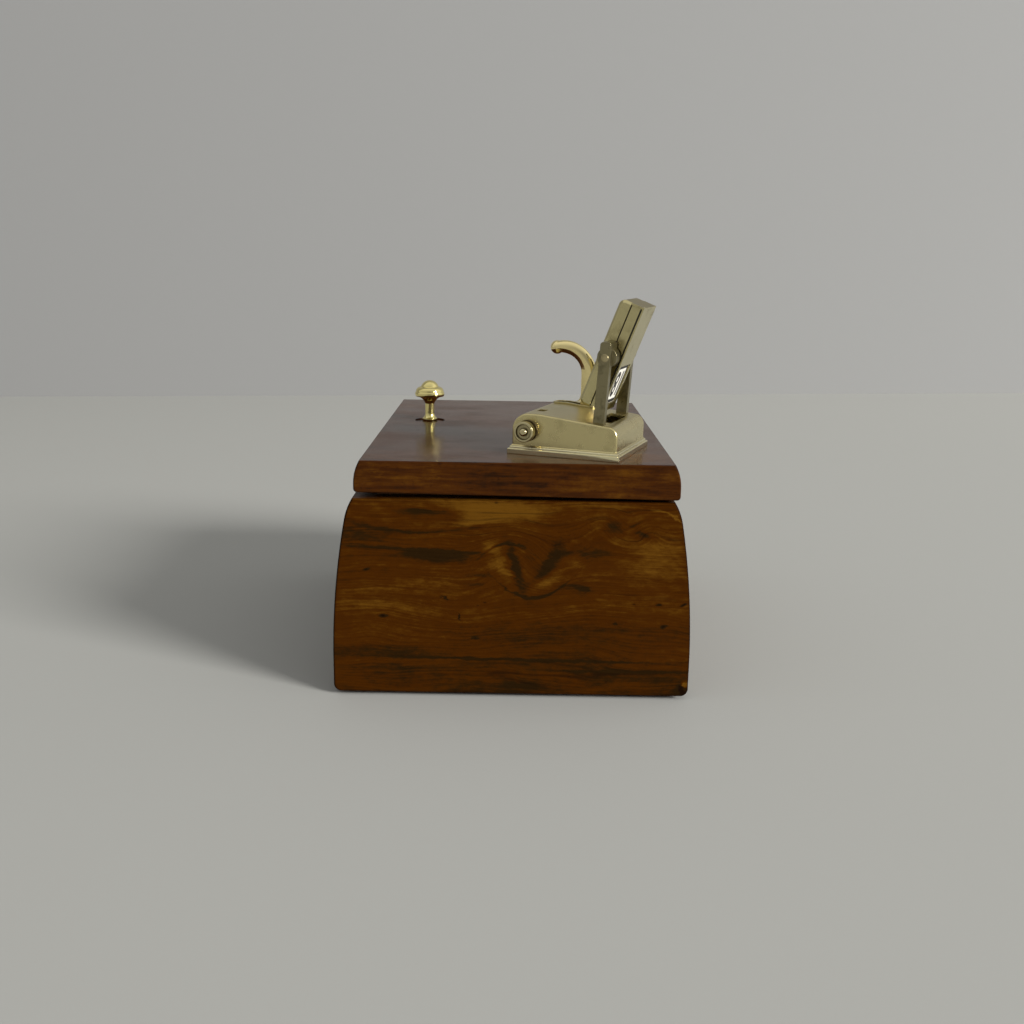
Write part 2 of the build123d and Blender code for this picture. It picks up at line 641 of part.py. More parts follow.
def post_line(height):
    """Return the posts' middle line at a height above the lid, on their lean through the pivot."""
    return PIVOT_X + (height - PIVOT_HEIGHT) * math.tan(math.radians(POST_LEAN))


def post_screw(face):
    """Return the screw that comes up from inside the housing into a post."""
    foot_x = post_line(HOUSING_TAIL_HEIGHT)
    seat = top_height(foot_x) - HOUSING_WALL
    screw = cheese_screw(POST_SCREW_RADIUS, POST_SCREW_HEAD_RADIUS, POST_SCREW_HEAD, POST_SCREW_LENGTH)
    return Pos(foot_x, face, seat) * Rot(0, POST_LEAN, 0) * screw


def bush_spans():
    """Return where the shaft's two bushes start and end through the housing's side walls."""
    near = (HOUSING_NEAR, HOUSING_NEAR + BUSH_LENGTH)
    far = (HOUSING_FAR - BUSH_LENGTH + HOUSING_WALL, HOUSING_FAR)
    return near, far


def post_middles():
    """Return the two posts' middles across the calendar, near one first."""
    return NEAR_POST_FACE + POST_THICKNESS / 2, FAR_POST_FACE - POST_THICKNESS / 2


def lug_screws():
    """Return the screws that come up through the plinth into the housing's lugs."""
    length = PLINTH_TOP + LUG_BITE
    screw = Rot(180, 0, 0) * countersunk_screw(LUG_SCREW_RADIUS, LUG_SCREW_HEAD_RADIUS, length)
    return [Pos(x, y, 0) * screw for x, y in lug_places()]


def housing_hollow():
    """Return the room inside the housing, a wall's thickness from its outer form all round."""
    inner = offset(housing_profile(), amount=-HOUSING_WALL, kind=Kind.INTERSECTION)
    near, far = HOUSING_NEAR + HOUSING_WALL, HOUSING_FAR - HOUSING_WALL
    room = Pos(0, near, 0) * extrude(inner, amount=far - near, dir=(0, 1, 0))
    mouth = block(
        (HOUSING_NOSE + HOUSING_WALL, near, PLINTH_TOP - HOUSING_WALL),
        (HOUSING_TAIL - HOUSING_WALL, far, PLINTH_TOP + 2 * HOUSING_WALL),
    )
    return room + mouth


def housing_foot():
    """Return the flared skirt round the housing's foot."""
    width, depth = HOUSING_TAIL - HOUSING_NOSE, HOUSING_FAR - HOUSING_NEAR
    middle = ((HOUSING_NOSE + HOUSING_TAIL) / 2, (HOUSING_NEAR + HOUSING_FAR) / 2)
    wide = Rectangle(width + 2 * HOUSING_FLARE, depth + 2 * HOUSING_FLARE)
    narrow = Rectangle(width, depth)
    return loft(
        [Pos(*middle, PLINTH_TOP) * wide, Pos(*middle, PLINTH_TOP + HOUSING_FLARE_HEIGHT) * narrow]
    )


def make_plinth():
    """Build the plinth: a slab with a rounded step on it, drilled for its screws."""
    slab = block((0, 0, 0), (PLINTH_LENGTH, PLINTH_DEPTH, PLINTH_SLAB))
    slab = fillet(slab.edges().group_by(Axis.Z)[-1], PLINTH_EDGE_RADIUS)
    inset = PLINTH_STEP_INSET
    step = block(
        (inset, inset, PLINTH_SLAB), (PLINTH_LENGTH - inset, PLINTH_DEPTH - inset, PLINTH_TOP)
    )
    plinth = slab + fillet(step.edges().group_by(Axis.Z)[-1], PLINTH_STEP / 2)
    plinth -= lug_screws()
    plinth = on_calendar(plinth)
    plinth -= plinth_screws()
    parts["calendar_plinth"] = plinth
    parts["housing_screws"] = on_calendar(pair(lug_screws()))


def make_housing():
    """Build the hollow housing with its windows, its slot and the holes for what it carries."""
    lugs = [upright(x, y, LUG_RADIUS, PLINTH_TOP, PLINTH_TOP + LUG_HEIGHT) for x, y in lug_places()]
    housing = housing_block() + housing_foot() - housing_hollow() + lugs
    housing -= lug_screws()
    roof = HOUSING_NOSE_HEIGHT + HOUSING_WALL
    inside = PLINTH_TOP + LUG_HEIGHT
    window_x, window_y = DRUM_X + HOUSING_EDGE_RADIUS / 2, MONTH_WINDOW_START
    housing -= block(
        (window_x, window_y, DRUM_HEIGHT),
        (window_x + MONTH_WINDOW_WIDTH, window_y + MONTH_WINDOW_LENGTH, roof),
    )
    opening_x = HOUSING_TAIL - HOUSING_TAIL_RADIUS - TAIL_OPENING_MARGIN
    housing -= block(
        (opening_x - TAIL_OPENING_WIDTH, CASING_MIDDLE - TAIL_OPENING_LENGTH / 2, inside),
        (opening_x, CASING_MIDDLE + TAIL_OPENING_LENGTH / 2, roof),
    )
    housing -= slot_shape(0, inside, roof)
    housing -= [cross_bar(DRUM_X, DRUM_HEIGHT, BUSH_RADIUS, near, far) for near, far in bush_spans()]
    housing -= [post_screw(middle) for middle in post_middles()]
    parts["calendar_housing"] = on_calendar(housing)


def make_posts():
    """Build the two leaning posts with their pivot bosses, and the screws in them."""
    near_middle, far_middle = post_middles()
    half = POST_THICKNESS / 2
    inward = CASING_NEAR - MOVING_GAP - (near_middle + half)
    top = PIVOT_HEIGHT + POST_ABOVE_PIVOT
    lean = Location((PIVOT_X, 0, PIVOT_HEIGHT), (0, POST_LEAN, 0))
    head_depth = PIVOT_HEAD_RADIUS - PIVOT_SCREW_RADIUS
    for name, middle, side in (("near", near_middle, 1), ("far", far_middle, -1)):
        inner = middle + side * half
        reach = inner + side * inward
        faces = sorted((inner, reach))
        bar = block(
            (-POST_WIDTH / 2, middle - half, -PIVOT_HEIGHT),
            (POST_WIDTH / 2, middle + half, top - PIVOT_HEIGHT),
        )
        head = block((-POST_WIDTH / 2, faces[0], 0), (POST_WIDTH / 2, faces[1], top - PIVOT_HEIGHT))
        boss = cross_bar(0, 0, POST_BOSS_RADIUS, *faces)
        post = bar + head
        crown = post.edges().filter_by(Axis.Y).group_by(Axis.Z)[-1]
        post = lean * (fillet(crown, POST_TOP_ROUNDING) + boss)
        below = block((0, 0, -CUT_PAST), (PLINTH_LENGTH, PLINTH_DEPTH, PLINTH_TOP))
        post = post - housing_block() - below
        outer = middle - side * half
        tip = outer + side * (POST_THICKNESS + inward + PIVOT_BITE)
        shank = cross_bar(PIVOT_X, PIVOT_HEIGHT, PIVOT_SCREW_RADIUS, *sorted((outer, tip)))
        turn = Rot(90 * side, 0, 0)
        sink = Pos(0, 0, -head_depth / 2) * Cone(PIVOT_SCREW_RADIUS, PIVOT_HEAD_RADIUS, head_depth)
        screw = shank + Pos(PIVOT_X, outer, PIVOT_HEIGHT) * turn * sink
        upright_screw = post_screw(middle)
        parts[f"{name}_post"] = on_calendar(post - screw - upright_screw)
        parts[f"{name}_pivot_screw"] = on_calendar(screw)
    parts["post_screws"] = on_calendar(pair([post_screw(middle) for middle in post_middles()]))


def tilted(shape):
    """Move a casing piece from its upright place about the pivot to its tilt between the posts."""
    place = Location((PIVOT_X, CASING_MIDDLE, PIVOT_HEIGHT), (0, CASING_TILT, 0))
    return on_calendar(place * shape)


def casing_window(side):
    """Return the low and high ends of the window near one end of the casing."""
    end = side * (CASING_LENGTH / 2 - WINDOW_FROM_END)
    return sorted((end, end - side * WINDOW_LENGTH))


def casing_shell():
    """Return the front shell: an open tray with bevelled long edges and rounded ends."""
    half_width, half_length = CASING_WIDTH / 2, CASING_LENGTH / 2
    shell = block((SHELL_FRONT, -half_width, -half_length), (SHELL_BACK, half_width, half_length))
    shell = fillet(shell.edges().filter_by(Axis.Y).group_by(Axis.X)[0], SHELL_END_ROUNDING)
    long_edges = shell.faces().sort_by(Axis.X)[0].edges().filter_by(Axis.Z)
    shell = chamfer(long_edges, SHELL_CHAMFER)
    hollow_y = half_width - SHELL_WALL - SHELL_CHAMFER / 2
    hollow_z = half_length - SHELL_WALL - SHELL_CHAMFER / 2
    hollow = block(
        (SHELL_FRONT + SHELL_WALL, -hollow_y, -hollow_z), (SHELL_BACK + CUT_PAST, hollow_y, hollow_z)
    )
    return shell - hollow


def casing_core():
    """Return the core: a four-sided frame, narrower than the shell and the back plate."""
    core_y, core_z = CASING_WIDTH / 2 - CORE_INSET, CASING_LENGTH / 2 - CORE_INSET
    core = block((SHELL_BACK, -core_y, -core_z), (CORE_BACK, core_y, core_z))
    room_y, room_z = core_y - CORE_WALL, core_z - CORE_WALL
    return core - block(
        (SHELL_BACK - CUT_PAST, -room_y, -room_z), (CORE_BACK + CUT_PAST, room_y, room_z)
    )


def casing_back():
    """Return the back plate, whose top end turns over towards the shell."""
    half_width, half_length = CASING_WIDTH / 2, CASING_LENGTH / 2
    plate = block((CORE_BACK, -half_width, -half_length), (CASING_BACK, half_width, half_length))
    core_end = half_length - CORE_INSET
    plate += block((SHELL_BACK, -half_width, core_end), (CASING_BACK, half_width, half_length))
    corner = plate.edges().filter_by(Axis.Y).group_by(Axis.Z)[-1].sort_by(Axis.X)[-1:]
    return fillet(corner, BACK_THICKNESS / 2)


def date_card(start, low, high):
    """Return one card across the windows' width, from a place through the casing's depth."""
    half = CASING_WIDTH / 2 - WINDOW_MARGIN + CARD_MARGIN
    return block((start, -half, low), (start + CARD_THICKNESS, half, high))


def make_casing():
    """Build the flip casing: front shell, core frame, back plate, cards and bushes."""
    window_half = CASING_WIDTH / 2 - WINDOW_MARGIN
    front_start = SHELL_FRONT + SHELL_WALL
    low, high = casing_window(-1)
    back = casing_back() - block((CORE_BACK, -window_half, low), (CASING_BACK + CUT_PAST, window_half, high))
    back_card = date_card(CORE_BACK - CARD_THICKNESS, low - CARD_MARGIN, high + CARD_MARGIN)
    low, high = casing_window(1)
    shell = casing_shell() - block((SHELL_FRONT - CUT_PAST, -window_half, low), (front_start, window_half, high))
    front_card = date_card(front_start, low - CARD_MARGIN, high + CARD_MARGIN)
    pitch = CARD_THICKNESS + SPARE_CARD_GAP
    stack = [date_card(front_start + (number + 1) * pitch, low, high) for number in range(SPARE_CARDS)]
    bore = PIVOT_SCREW_RADIUS + RUNNING_CLEARANCE
    spans = [
        sorted((side * CASING_WIDTH / 2, side * (CASING_WIDTH / 2 - CASING_BUSH_LENGTH))) for side in (-1, 1)
    ]
    seats = [cross_bar(0, 0, CASING_BUSH_RADIUS, *span) for span in spans]
    parts["casing_front_shell"] = tilted(shell - seats)
    parts["casing_core"] = tilted(casing_core() - seats)
    parts["casing_back_plate"] = tilted(back)
    parts["front_date_card"] = tilted(front_card)
    parts["back_date_card"] = tilted(back_card)
    parts["spare_date_cards"] = tilted(pair(stack))
    parts["casing_bushes"] = tilted(pair([ring(0, 0, CASING_BUSH_RADIUS, bore, *span) for span in spans]))


def ratchet_wheel(near):
    """Return the toothed wheel on the drum's shaft, every tooth a twelfth of a turn apart."""
    points = []
    root = RATCHET_RADIUS - RATCHET_TOOTH_DEPTH
    for tooth in range(RATCHET_TEETH):
        angle = 2 * math.pi * tooth / RATCHET_TEETH
        points.append((RATCHET_RADIUS * math.cos(angle), RATCHET_RADIUS * math.sin(angle)))
        points.append((root * math.cos(angle), root * math.sin(angle)))
    outline = make_face(Polyline(*[(DRUM_X + x, near, DRUM_HEIGHT + z) for x, z in points], close=True))
    return extrude(outline, amount=RATCHET_THICKNESS, dir=(0, 1, 0))


def setting_knob(front):
    """Return the setting knob: a dished disc with a raised rim, on a narrower hub."""
    radius, rim = SETTING_KNOB_RADIUS, SETTING_RIM_WIDTH
    back = front + SETTING_KNOB_THICKNESS
    disc = cross_bar(DRUM_X, DRUM_HEIGHT, radius, front, back)
    disc = fillet(disc.edges().filter_by(GeomType.CIRCLE), rim / 3)
    disc -= ring(
        DRUM_X, DRUM_HEIGHT, radius - rim, SETTING_NUT_RADIUS, front, front + SETTING_DISH_DEPTH
    )
    hub = cross_bar(DRUM_X, DRUM_HEIGHT, SETTING_HUB_RADIUS, back, back + SETTING_HUB_LENGTH)
    return disc + hub


def make_drum():
    """Build the month drum with its shaft, paper band, ratchet wheel, knob, nut and bushes."""
    x, z = DRUM_X, DRUM_HEIGHT
    drum_near, drum_far = DRUM_START, DRUM_START + DRUM_LENGTH
    wheel_near = LEVER_DEPTH_PLACE - RATCHET_THICKNESS / 2
    bush_near, bush_far = bush_spans()
    flange_near = HOUSING_NEAR - BUSH_FLANGE_THICKNESS
    knob_front = flange_near - MOVING_GAP - SETTING_HUB_LENGTH - SETTING_KNOB_THICKNESS
    shaft = cross_bar(x, z, SHAFT_RADIUS, knob_front, HOUSING_FAR)
    bore = SHAFT_RADIUS + RUNNING_CLEARANCE
    flange = ring(x, z, BUSH_FLANGE_RADIUS, bore, flange_near, HOUSING_NEAR)
    bushes = [ring(x, z, BUSH_RADIUS, bore, *bush_near) + flange, ring(x, z, BUSH_RADIUS, bore, *bush_far)]
    hub = ring(x, z, BUSH_RADIUS, SHAFT_RADIUS, drum_far, wheel_near)
    drum = ring(x, z, DRUM_RADIUS, SHAFT_RADIUS, drum_near, drum_far) + hub
    band_near = MONTH_WINDOW_START + (MONTH_WINDOW_LENGTH - BAND_LENGTH) / 2
    nut_front = knob_front - SETTING_NUT_THICKNESS
    nut = cross_bar(x, z, SETTING_NUT_RADIUS, nut_front, knob_front)
    nut = fillet(nut.edges().group_by(Axis.Y)[0], SETTING_NUT_ROUNDING)
    parts["month_drum"] = on_calendar(drum)
    parts["month_band"] = on_calendar(
        ring(x, z, DRUM_RADIUS + BAND_THICKNESS, DRUM_RADIUS, band_near, band_near + BAND_LENGTH)
    )
    parts["drum_shaft"] = on_calendar(shaft)
    parts["drum_bushes"] = on_calendar(pair(bushes))
    parts["ratchet_wheel"] = on_calendar(ratchet_wheel(wheel_near) - shaft)
    parts["setting_knob"] = on_calendar(setting_knob(knob_front) - shaft)
    parts["setting_knob_nut"] = on_calendar(nut)


def lever_section(x, z, lean, half_width, half_depth):
    """Return one of the horn's oval cross-sections, leaning towards -X."""
    place = Location((x, LEVER_DEPTH_PLACE, z), (0, -lean, 0))
    return place * Ellipse(half_width, half_depth)


def lever_sections():
    """Return the horn's cross-sections along its line: a stem that bends over into a thumb-piece."""
    stem_x, depth = LEVER_STEM_X, LEVER_STEM_HALF_DEPTH
    waist = LEVER_FOOT_HEIGHT + LEVER_WAIST_SHARE * (LEVER_STEM_TOP - LEVER_FOOT_HEIGHT)
    sections = [
        lever_section(stem_x - LEVER_FOOT_SHIFT, LEVER_FOOT_HEIGHT, 0, LEVER_FOOT_HALF_WIDTH, depth),
        lever_section(stem_x, waist, 0, LEVER_STEM_HALF_WIDTH, depth),
        lever_section(stem_x, LEVER_STEM_TOP, 0, LEVER_STEM_HALF_WIDTH, depth),
    ]
    for step in range(1, LEVER_BEND_STEPS + 1):
        share = step / LEVER_BEND_STEPS
        lean = LEVER_BEND_ANGLE * share
        x = stem_x - LEVER_BEND_RADIUS * (1 - math.cos(math.radians(lean)))
        z = LEVER_STEM_TOP + LEVER_BEND_RADIUS * math.sin(math.radians(lean))
        half_width = LEVER_STEM_HALF_WIDTH + share * (LEVER_TIP_HALF_WIDTH - LEVER_STEM_HALF_WIDTH)
        half_depth = depth + share * (LEVER_THUMB_HALF_DEPTH - depth)
        sections.append(lever_section(x, z, lean, half_width, half_depth))
    return sections


def lever_arm_spans():
    """Return the arm's start and end along the calendar, and its low and high sides."""
    half = LEVER_ARM_THICKNESS / 2
    start = DRUM_X + RATCHET_RADIUS + MOVING_GAP
    return (start, LEVER_PIVOT_X), (LEVER_PIVOT_HEIGHT - half, LEVER_PIVOT_HEIGHT + half)


def horn_lever():
    """Return the lever: horn, neck through the slot, hub on the pin and arm to the ratchet."""
    x, y, z = LEVER_PIVOT_X, LEVER_DEPTH_PLACE, LEVER_PIVOT_HEIGHT
    sections = lever_sections()
    bulb = Rot(0, -LEVER_BEND_ANGLE, 0) * Sphere(LEVER_BULB_RADIUS)
    horn = loft(sections) + Pos(*sections[-1].center()) * bulb
    neck_half, neck_depth = LEVER_NECK_WIDTH / 2, LEVER_NECK_THICKNESS / 2
    neck = block((x - neck_half, y - neck_depth, z), (x + neck_half, y + neck_depth, LEVER_FOOT_HEIGHT))
    hub = cross_bar(x, z, LEVER_HUB_RADIUS, y - LEVER_HUB_LENGTH / 2, y + LEVER_HUB_LENGTH / 2)
    (start, end), (low, high) = lever_arm_spans()
    arm = block((start, y - RATCHET_THICKNESS / 2, low), (end, y + RATCHET_THICKNESS / 2, high))
    bore = cross_bar(x, z, LEVER_PIN_RADIUS + RUNNING_CLEARANCE, y - LEVER_HUB_LENGTH, y + LEVER_HUB_LENGTH)
    return horn + neck + hub + arm - bore


def lever_bracket(pin):
    """Return the bracket: a plate on the plinth with two round-topped ears that hold the pin."""
    x, y, thick = LEVER_PIVOT_X, LEVER_DEPTH_PLACE, BRACKET_THICKNESS
    inside, half_ear = LEVER_HUB_LENGTH / 2 + MOVING_GAP, BRACKET_EAR_WIDTH / 2
    near, far = y - inside - thick, y + inside
    bracket = block(
        (x - SPRING_OFFSET - half_ear, near, PLINTH_TOP), (x + half_ear, far + thick, PLINTH_TOP + thick)
    )
    for start in (near, far):
        bracket += block((x - half_ear, start, PLINTH_TOP), (x + half_ear, start + thick, LEVER_PIVOT_HEIGHT))
        bracket += cross_bar(x, LEVER_PIVOT_HEIGHT, half_ear, start, start + thick)
    return bracket - pin


def lever_spring():
    """Return the coil spring between the bracket's plate and the lever's arm."""
    low, high = PLINTH_TOP + BRACKET_THICKNESS, lever_arm_spans()[1][0]
    height = high - low - 2 * SPRING_WIRE_RADIUS
    helix = Helix(height / SPRING_TURNS, height, SPRING_RADIUS)
    wire = Plane(origin=helix @ 0, z_dir=helix % 0) * Circle(SPRING_WIRE_RADIUS)
    place = Pos(LEVER_PIVOT_X - SPRING_OFFSET, LEVER_DEPTH_PLACE, low + SPRING_WIRE_RADIUS)
    return place * sweep(wire, path=helix)


def lever_escutcheon():
    """Return the raised rim that follows the housing's top round the lever's slot."""
    rim = slot_shape(ESCUTCHEON_RIM, PLINTH_TOP, HOUSING_NOSE_HEIGHT + 2 * ESCUTCHEON_THICKNESS)
    rim -= slot_shape(0, 0, 2 * HOUSING_NOSE_HEIGHT)
    raised = Pos(0, 0, ESCUTCHEON_THICKNESS) * housing_block()
    return (rim & raised) - housing_block()


def make_lever():
    """Build the horn lever with its pin, bracket, spring and escutcheon."""
    pin_half = LEVER_HUB_LENGTH / 2 + MOVING_GAP + BRACKET_THICKNESS
    near, far = LEVER_DEPTH_PLACE - pin_half, LEVER_DEPTH_PLACE + pin_half
    pin = cross_bar(LEVER_PIVOT_X, LEVER_PIVOT_HEIGHT, LEVER_PIN_RADIUS, near, far)
    parts["horn_lever"] = on_calendar(horn_lever())
    parts["lever_bracket"] = on_calendar(lever_bracket(pin))
    parts["lever_pin"] = on_calendar(pin)
    parts["lever_spring"] = on_calendar(lever_spring())
    parts["lever_escutcheon"] = on_calendar(lever_escutcheon())


make_body()
make_linings()
make_lid()
make_hinges()
make_plinth()
make_housing()
make_posts()
make_casing()
make_drum()
make_lever()
for name, shape in parts.items():
    export_step(shape, f"parts/{name}.step")
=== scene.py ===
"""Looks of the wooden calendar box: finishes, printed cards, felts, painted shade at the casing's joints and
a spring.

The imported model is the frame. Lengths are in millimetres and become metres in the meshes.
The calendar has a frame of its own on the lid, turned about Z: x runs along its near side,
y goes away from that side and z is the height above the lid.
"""
from __future__ import annotations

import logging
import math
from dataclasses import dataclass, replace
from enum import Enum
from typing import Union

import bmesh
import bpy
import numpy as np
from mathutils import Matrix, Vector


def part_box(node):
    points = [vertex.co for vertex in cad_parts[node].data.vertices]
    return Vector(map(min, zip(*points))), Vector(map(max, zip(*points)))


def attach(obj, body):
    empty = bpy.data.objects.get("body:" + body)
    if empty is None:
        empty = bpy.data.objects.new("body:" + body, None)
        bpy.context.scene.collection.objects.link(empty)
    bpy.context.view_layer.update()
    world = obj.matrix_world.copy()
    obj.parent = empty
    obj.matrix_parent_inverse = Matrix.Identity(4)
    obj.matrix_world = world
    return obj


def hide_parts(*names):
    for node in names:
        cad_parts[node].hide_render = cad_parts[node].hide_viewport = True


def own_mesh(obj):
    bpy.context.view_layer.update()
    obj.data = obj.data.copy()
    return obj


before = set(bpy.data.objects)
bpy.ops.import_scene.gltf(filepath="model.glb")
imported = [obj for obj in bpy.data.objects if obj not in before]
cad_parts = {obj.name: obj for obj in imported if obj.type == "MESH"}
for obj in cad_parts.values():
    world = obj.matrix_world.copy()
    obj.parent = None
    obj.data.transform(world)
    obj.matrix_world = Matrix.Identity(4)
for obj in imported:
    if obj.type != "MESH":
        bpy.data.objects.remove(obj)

MM = 0.001
MERGE_METRES = 1e-7
LOG = logging.getLogger("calendar_box")
CORNER_SIGNS = ((-1, -1), (1, -1), (1, 1), (-1, 1))

Triple = tuple[float, float, float]
Faces = list[list[int]]
Socket = bpy.types.NodeSocket
Feed = Union[Socket, float, tuple[float, ...]]


def box_of(node: str) -> tuple[np.ndarray, np.ndarray]:
    """Return a node's lowest and highest corners.

    Args:
        node: the node's name in the frame.

    Returns:
        Both corners in millimetres.
    """
    low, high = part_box(node)
    return np.array(low) / MM, np.array(high) / MM


LID_TOP = box_of("lid_board")[1][2]


class Body(Enum):
    """The bodies that the sub-assemblies ride on."""

    BOX = "box"
    LID = "lid"
    CASING = "flip_casing"
    DRUM = "month_drum"
    LEVER = "horn_lever"


class Axis(Enum):
    """The box's own directions."""

    WIDTH = (1.0, 0.0, 0.0)
    LENGTH = (0.0, 1.0, 0.0)
    HEIGHT = (0.0, 0.0, 1.0)


class Grain(Enum):
    """The way that a board's grain runs, as the order of X, Y and Z: along, across, through."""

    ACROSS_BOX = (0, 2, 1)
    ACROSS_LID = (0, 1, 2)
    LENGTHWISE = (1, 2, 0)
    FLOORBOARD = (1, 0, 2)


@dataclass(frozen=True)
class CalendarFrame:
    """Where the calendar's own frame stands on the lid."""

    corner_x: float = -3.0
    corner_y: float = -65.1
    turn: float = -21.04

    def to_row(self, points: np.ndarray) -> np.ndarray:
        """Return points of the calendar's frame, turned about Z and moved, in the row's frame.

        Args:
            points: any number of points by 3, in millimetres.

        Returns:
            The same points in the row's frame.
        """
        turned = np.array(Matrix.Rotation(math.radians(self.turn), 3, "Z"))
        return points @ turned.T + np.array([self.corner_x, self.corner_y, LID_TOP])


@dataclass(frozen=True)
class CasingFrame:
    """The flip casing's own frame: x through it, y across it and z along it, about its pivot."""

    pivot_x: float = 37.4
    pivot_y: float = 21.3
    pivot_z: float = 38.8
    tilt: float = 21.2

    def to_row(self, points: np.ndarray) -> np.ndarray:
        """Return points of the casing's frame, leant about its y and moved, in the row's frame.

        Args:
            points: any number of points by 3, in millimetres.

        Returns:
            The same points in the row's frame.
        """
        leant = np.array(Matrix.Rotation(math.radians(self.tilt), 3, "Y"))
        return CalendarFrame().to_row(points @ leant.T + np.array([self.pivot_x, self.pivot_y, self.pivot_z]))

    def length_axis(self) -> Triple:
        """Return the direction along the casing, in the row's frame."""
        foot, tip = self.to_row(np.array([(0.0, 0.0, 0.0), Axis.HEIGHT.value]))
        return tuple(float(number) for number in tip - foot)


@dataclass(frozen=True)
class Ramp:
    """A smooth step from low to high, as a value goes from start to end."""

    start: float
    end: float
    low: float = 0.0
    high: float = 1.0


@dataclass(frozen=True)
class Cloud:
    """Noise from 0 to 1: its cells' size in millimetres, and its shift from the finish's seed."""

    cells: Triple
    shift: float = 0.0
    detail: float = 3.0
    roughness: float = 0.5


class NodeWork:
    """Short calls for the nodes that the finishes and the room share."""

    # A colour mix is fed by number, because its sockets for numbers and colours share their names.
    MIX_SHARE = 0
    MIX_LOW = 6
    MIX_HIGH = 7
    MIX_COLOUR = 2

    def __init__(self, tree: bpy.types.NodeTree) -> None:
        """Start with an empty node tree."""
        self.tree = tree
        self.tree.nodes.clear()

    def feed(self, socket: Socket, value: Feed) -> None:
        """Link a socket to another one, or set its number, vector or colour.

        Args:
            socket: the input to fill.
            value: an output socket, a number or a tuple.
        """
        if isinstance(value, Socket):
            self.tree.links.new(value, socket)
        elif socket.type == "RGBA" and len(value) == 3:
            socket.default_value = (*value, 1.0)
        else:
            socket.default_value = value

    def node(self, kind: str, inputs: dict[object, Feed], **settings: object) -> bpy.types.Node:
        """Add a node.

        Args:
            kind: the node's type name.
            inputs: values or sockets by input name or number.
            **settings: the node's own properties.

        Returns:
            The new node.
        """
        made = self.tree.nodes.new(kind)
        for key, value in settings.items():
            setattr(made, key, value)
        for key, value in inputs.items():
            self.feed(made.inputs[key], value)
        return made

    def calc(self, operation: str, *values: Feed) -> Socket:
        """Return the result of one step of arithmetic."""
        return self.node("ShaderNodeMath", dict(enumerate(values)), operation=operation).outputs[0]

    def plus(self, one: Feed, other: Feed) -> Socket:
        """Return a sum."""
        return self.calc("ADD", one, other)

    def minus(self, one: Feed, other: Feed) -> Socket:
        """Return a difference."""
        return self.calc("SUBTRACT", one, other)

    def times(self, one: Feed, other: Feed) -> Socket:
        """Return a product."""
        return self.calc("MULTIPLY", one, other)

    def add_share(self, base: Feed, value: Feed, share: Feed) -> Socket:
        """Return a base plus a share of a value."""
        return self.calc("MULTIPLY_ADD", value, share, base)

    def swing(self, noise: Feed) -> Socket:
        """Return noise from 0 to 1 as a swing about 0."""
        return self.minus(noise, 0.5)

    def vector(self, operation: str, *values: Feed) -> Socket:
        """Return the vector result of one step of vector arithmetic."""
        made = self.node("ShaderNodeVectorMath", dict(enumerate(values)), operation=operation)
        return made.outputs["Vector"]

    def dot(self, one: Feed, other: Feed) -> Socket:
        """Return the dot product of two vectors."""
        made = self.node("ShaderNodeVectorMath", {0: one, 1: other}, operation="DOT_PRODUCT")
        return made.outputs["Value"]

    def scale(self, vector: Feed, number: Feed) -> Socket:
        """Return a vector or colour times a number."""
        made = self.node("ShaderNodeVectorMath", {0: vector, "Scale": number}, operation="SCALE")
        return made.outputs["Vector"]

    def split(self, vector: Feed) -> list[Socket]:
        """Return a vector's three numbers."""
        return list(self.node("ShaderNodeSeparateXYZ", {0: vector}).outputs)

    def join(self, *numbers: Feed) -> Socket:
        """Return the vector of three numbers."""
        return self.node("ShaderNodeCombineXYZ", dict(enumerate(numbers))).outputs[0]

    def blend(self, share: Feed, low: Feed, high: Feed, mode: str = "MIX") -> Socket:
        """Return a colour between two, by a share from 0 to 1.

        Args:
            share: how much of the change is made.
            low: the colour at 0.
            high: the colour at 1, or what the low one is multiplied by.
            mode: MIX, or MULTIPLY.

        Returns:
            The colour.
        """
        inputs = {self.MIX_SHARE: share, self.MIX_LOW: low, self.MIX_HIGH: high}
        made = self.node("ShaderNodeMix", inputs, data_type="RGBA", blend_type=mode)
        return made.outputs[self.MIX_COLOUR]

    def tint(self, share: Feed, colour: Feed, by: Feed) -> Socket:
        """Return a colour multiplied by another one, by a share from 0 to 1."""
        return self.blend(share, colour, by, "MULTIPLY")

    def ease(self, value: Feed, ramp: Ramp, share: float = 1.0) -> Socket:
        """Return a ramp's height at a value.

        Args:
            value: where to read the ramp.
            ramp: the smooth step.
            share: what the height is multiplied by.

        Returns:
            The height.
        """
        inputs = {
            "Value": value,
            "From Min": ramp.start,
            "From Max": ramp.end,
            "To Min": ramp.low * share,
            "To Max": ramp.high * share,
        }
        return self.node("ShaderNodeMapRange", inputs, interpolation_type="SMOOTHSTEP").outputs["Result"]


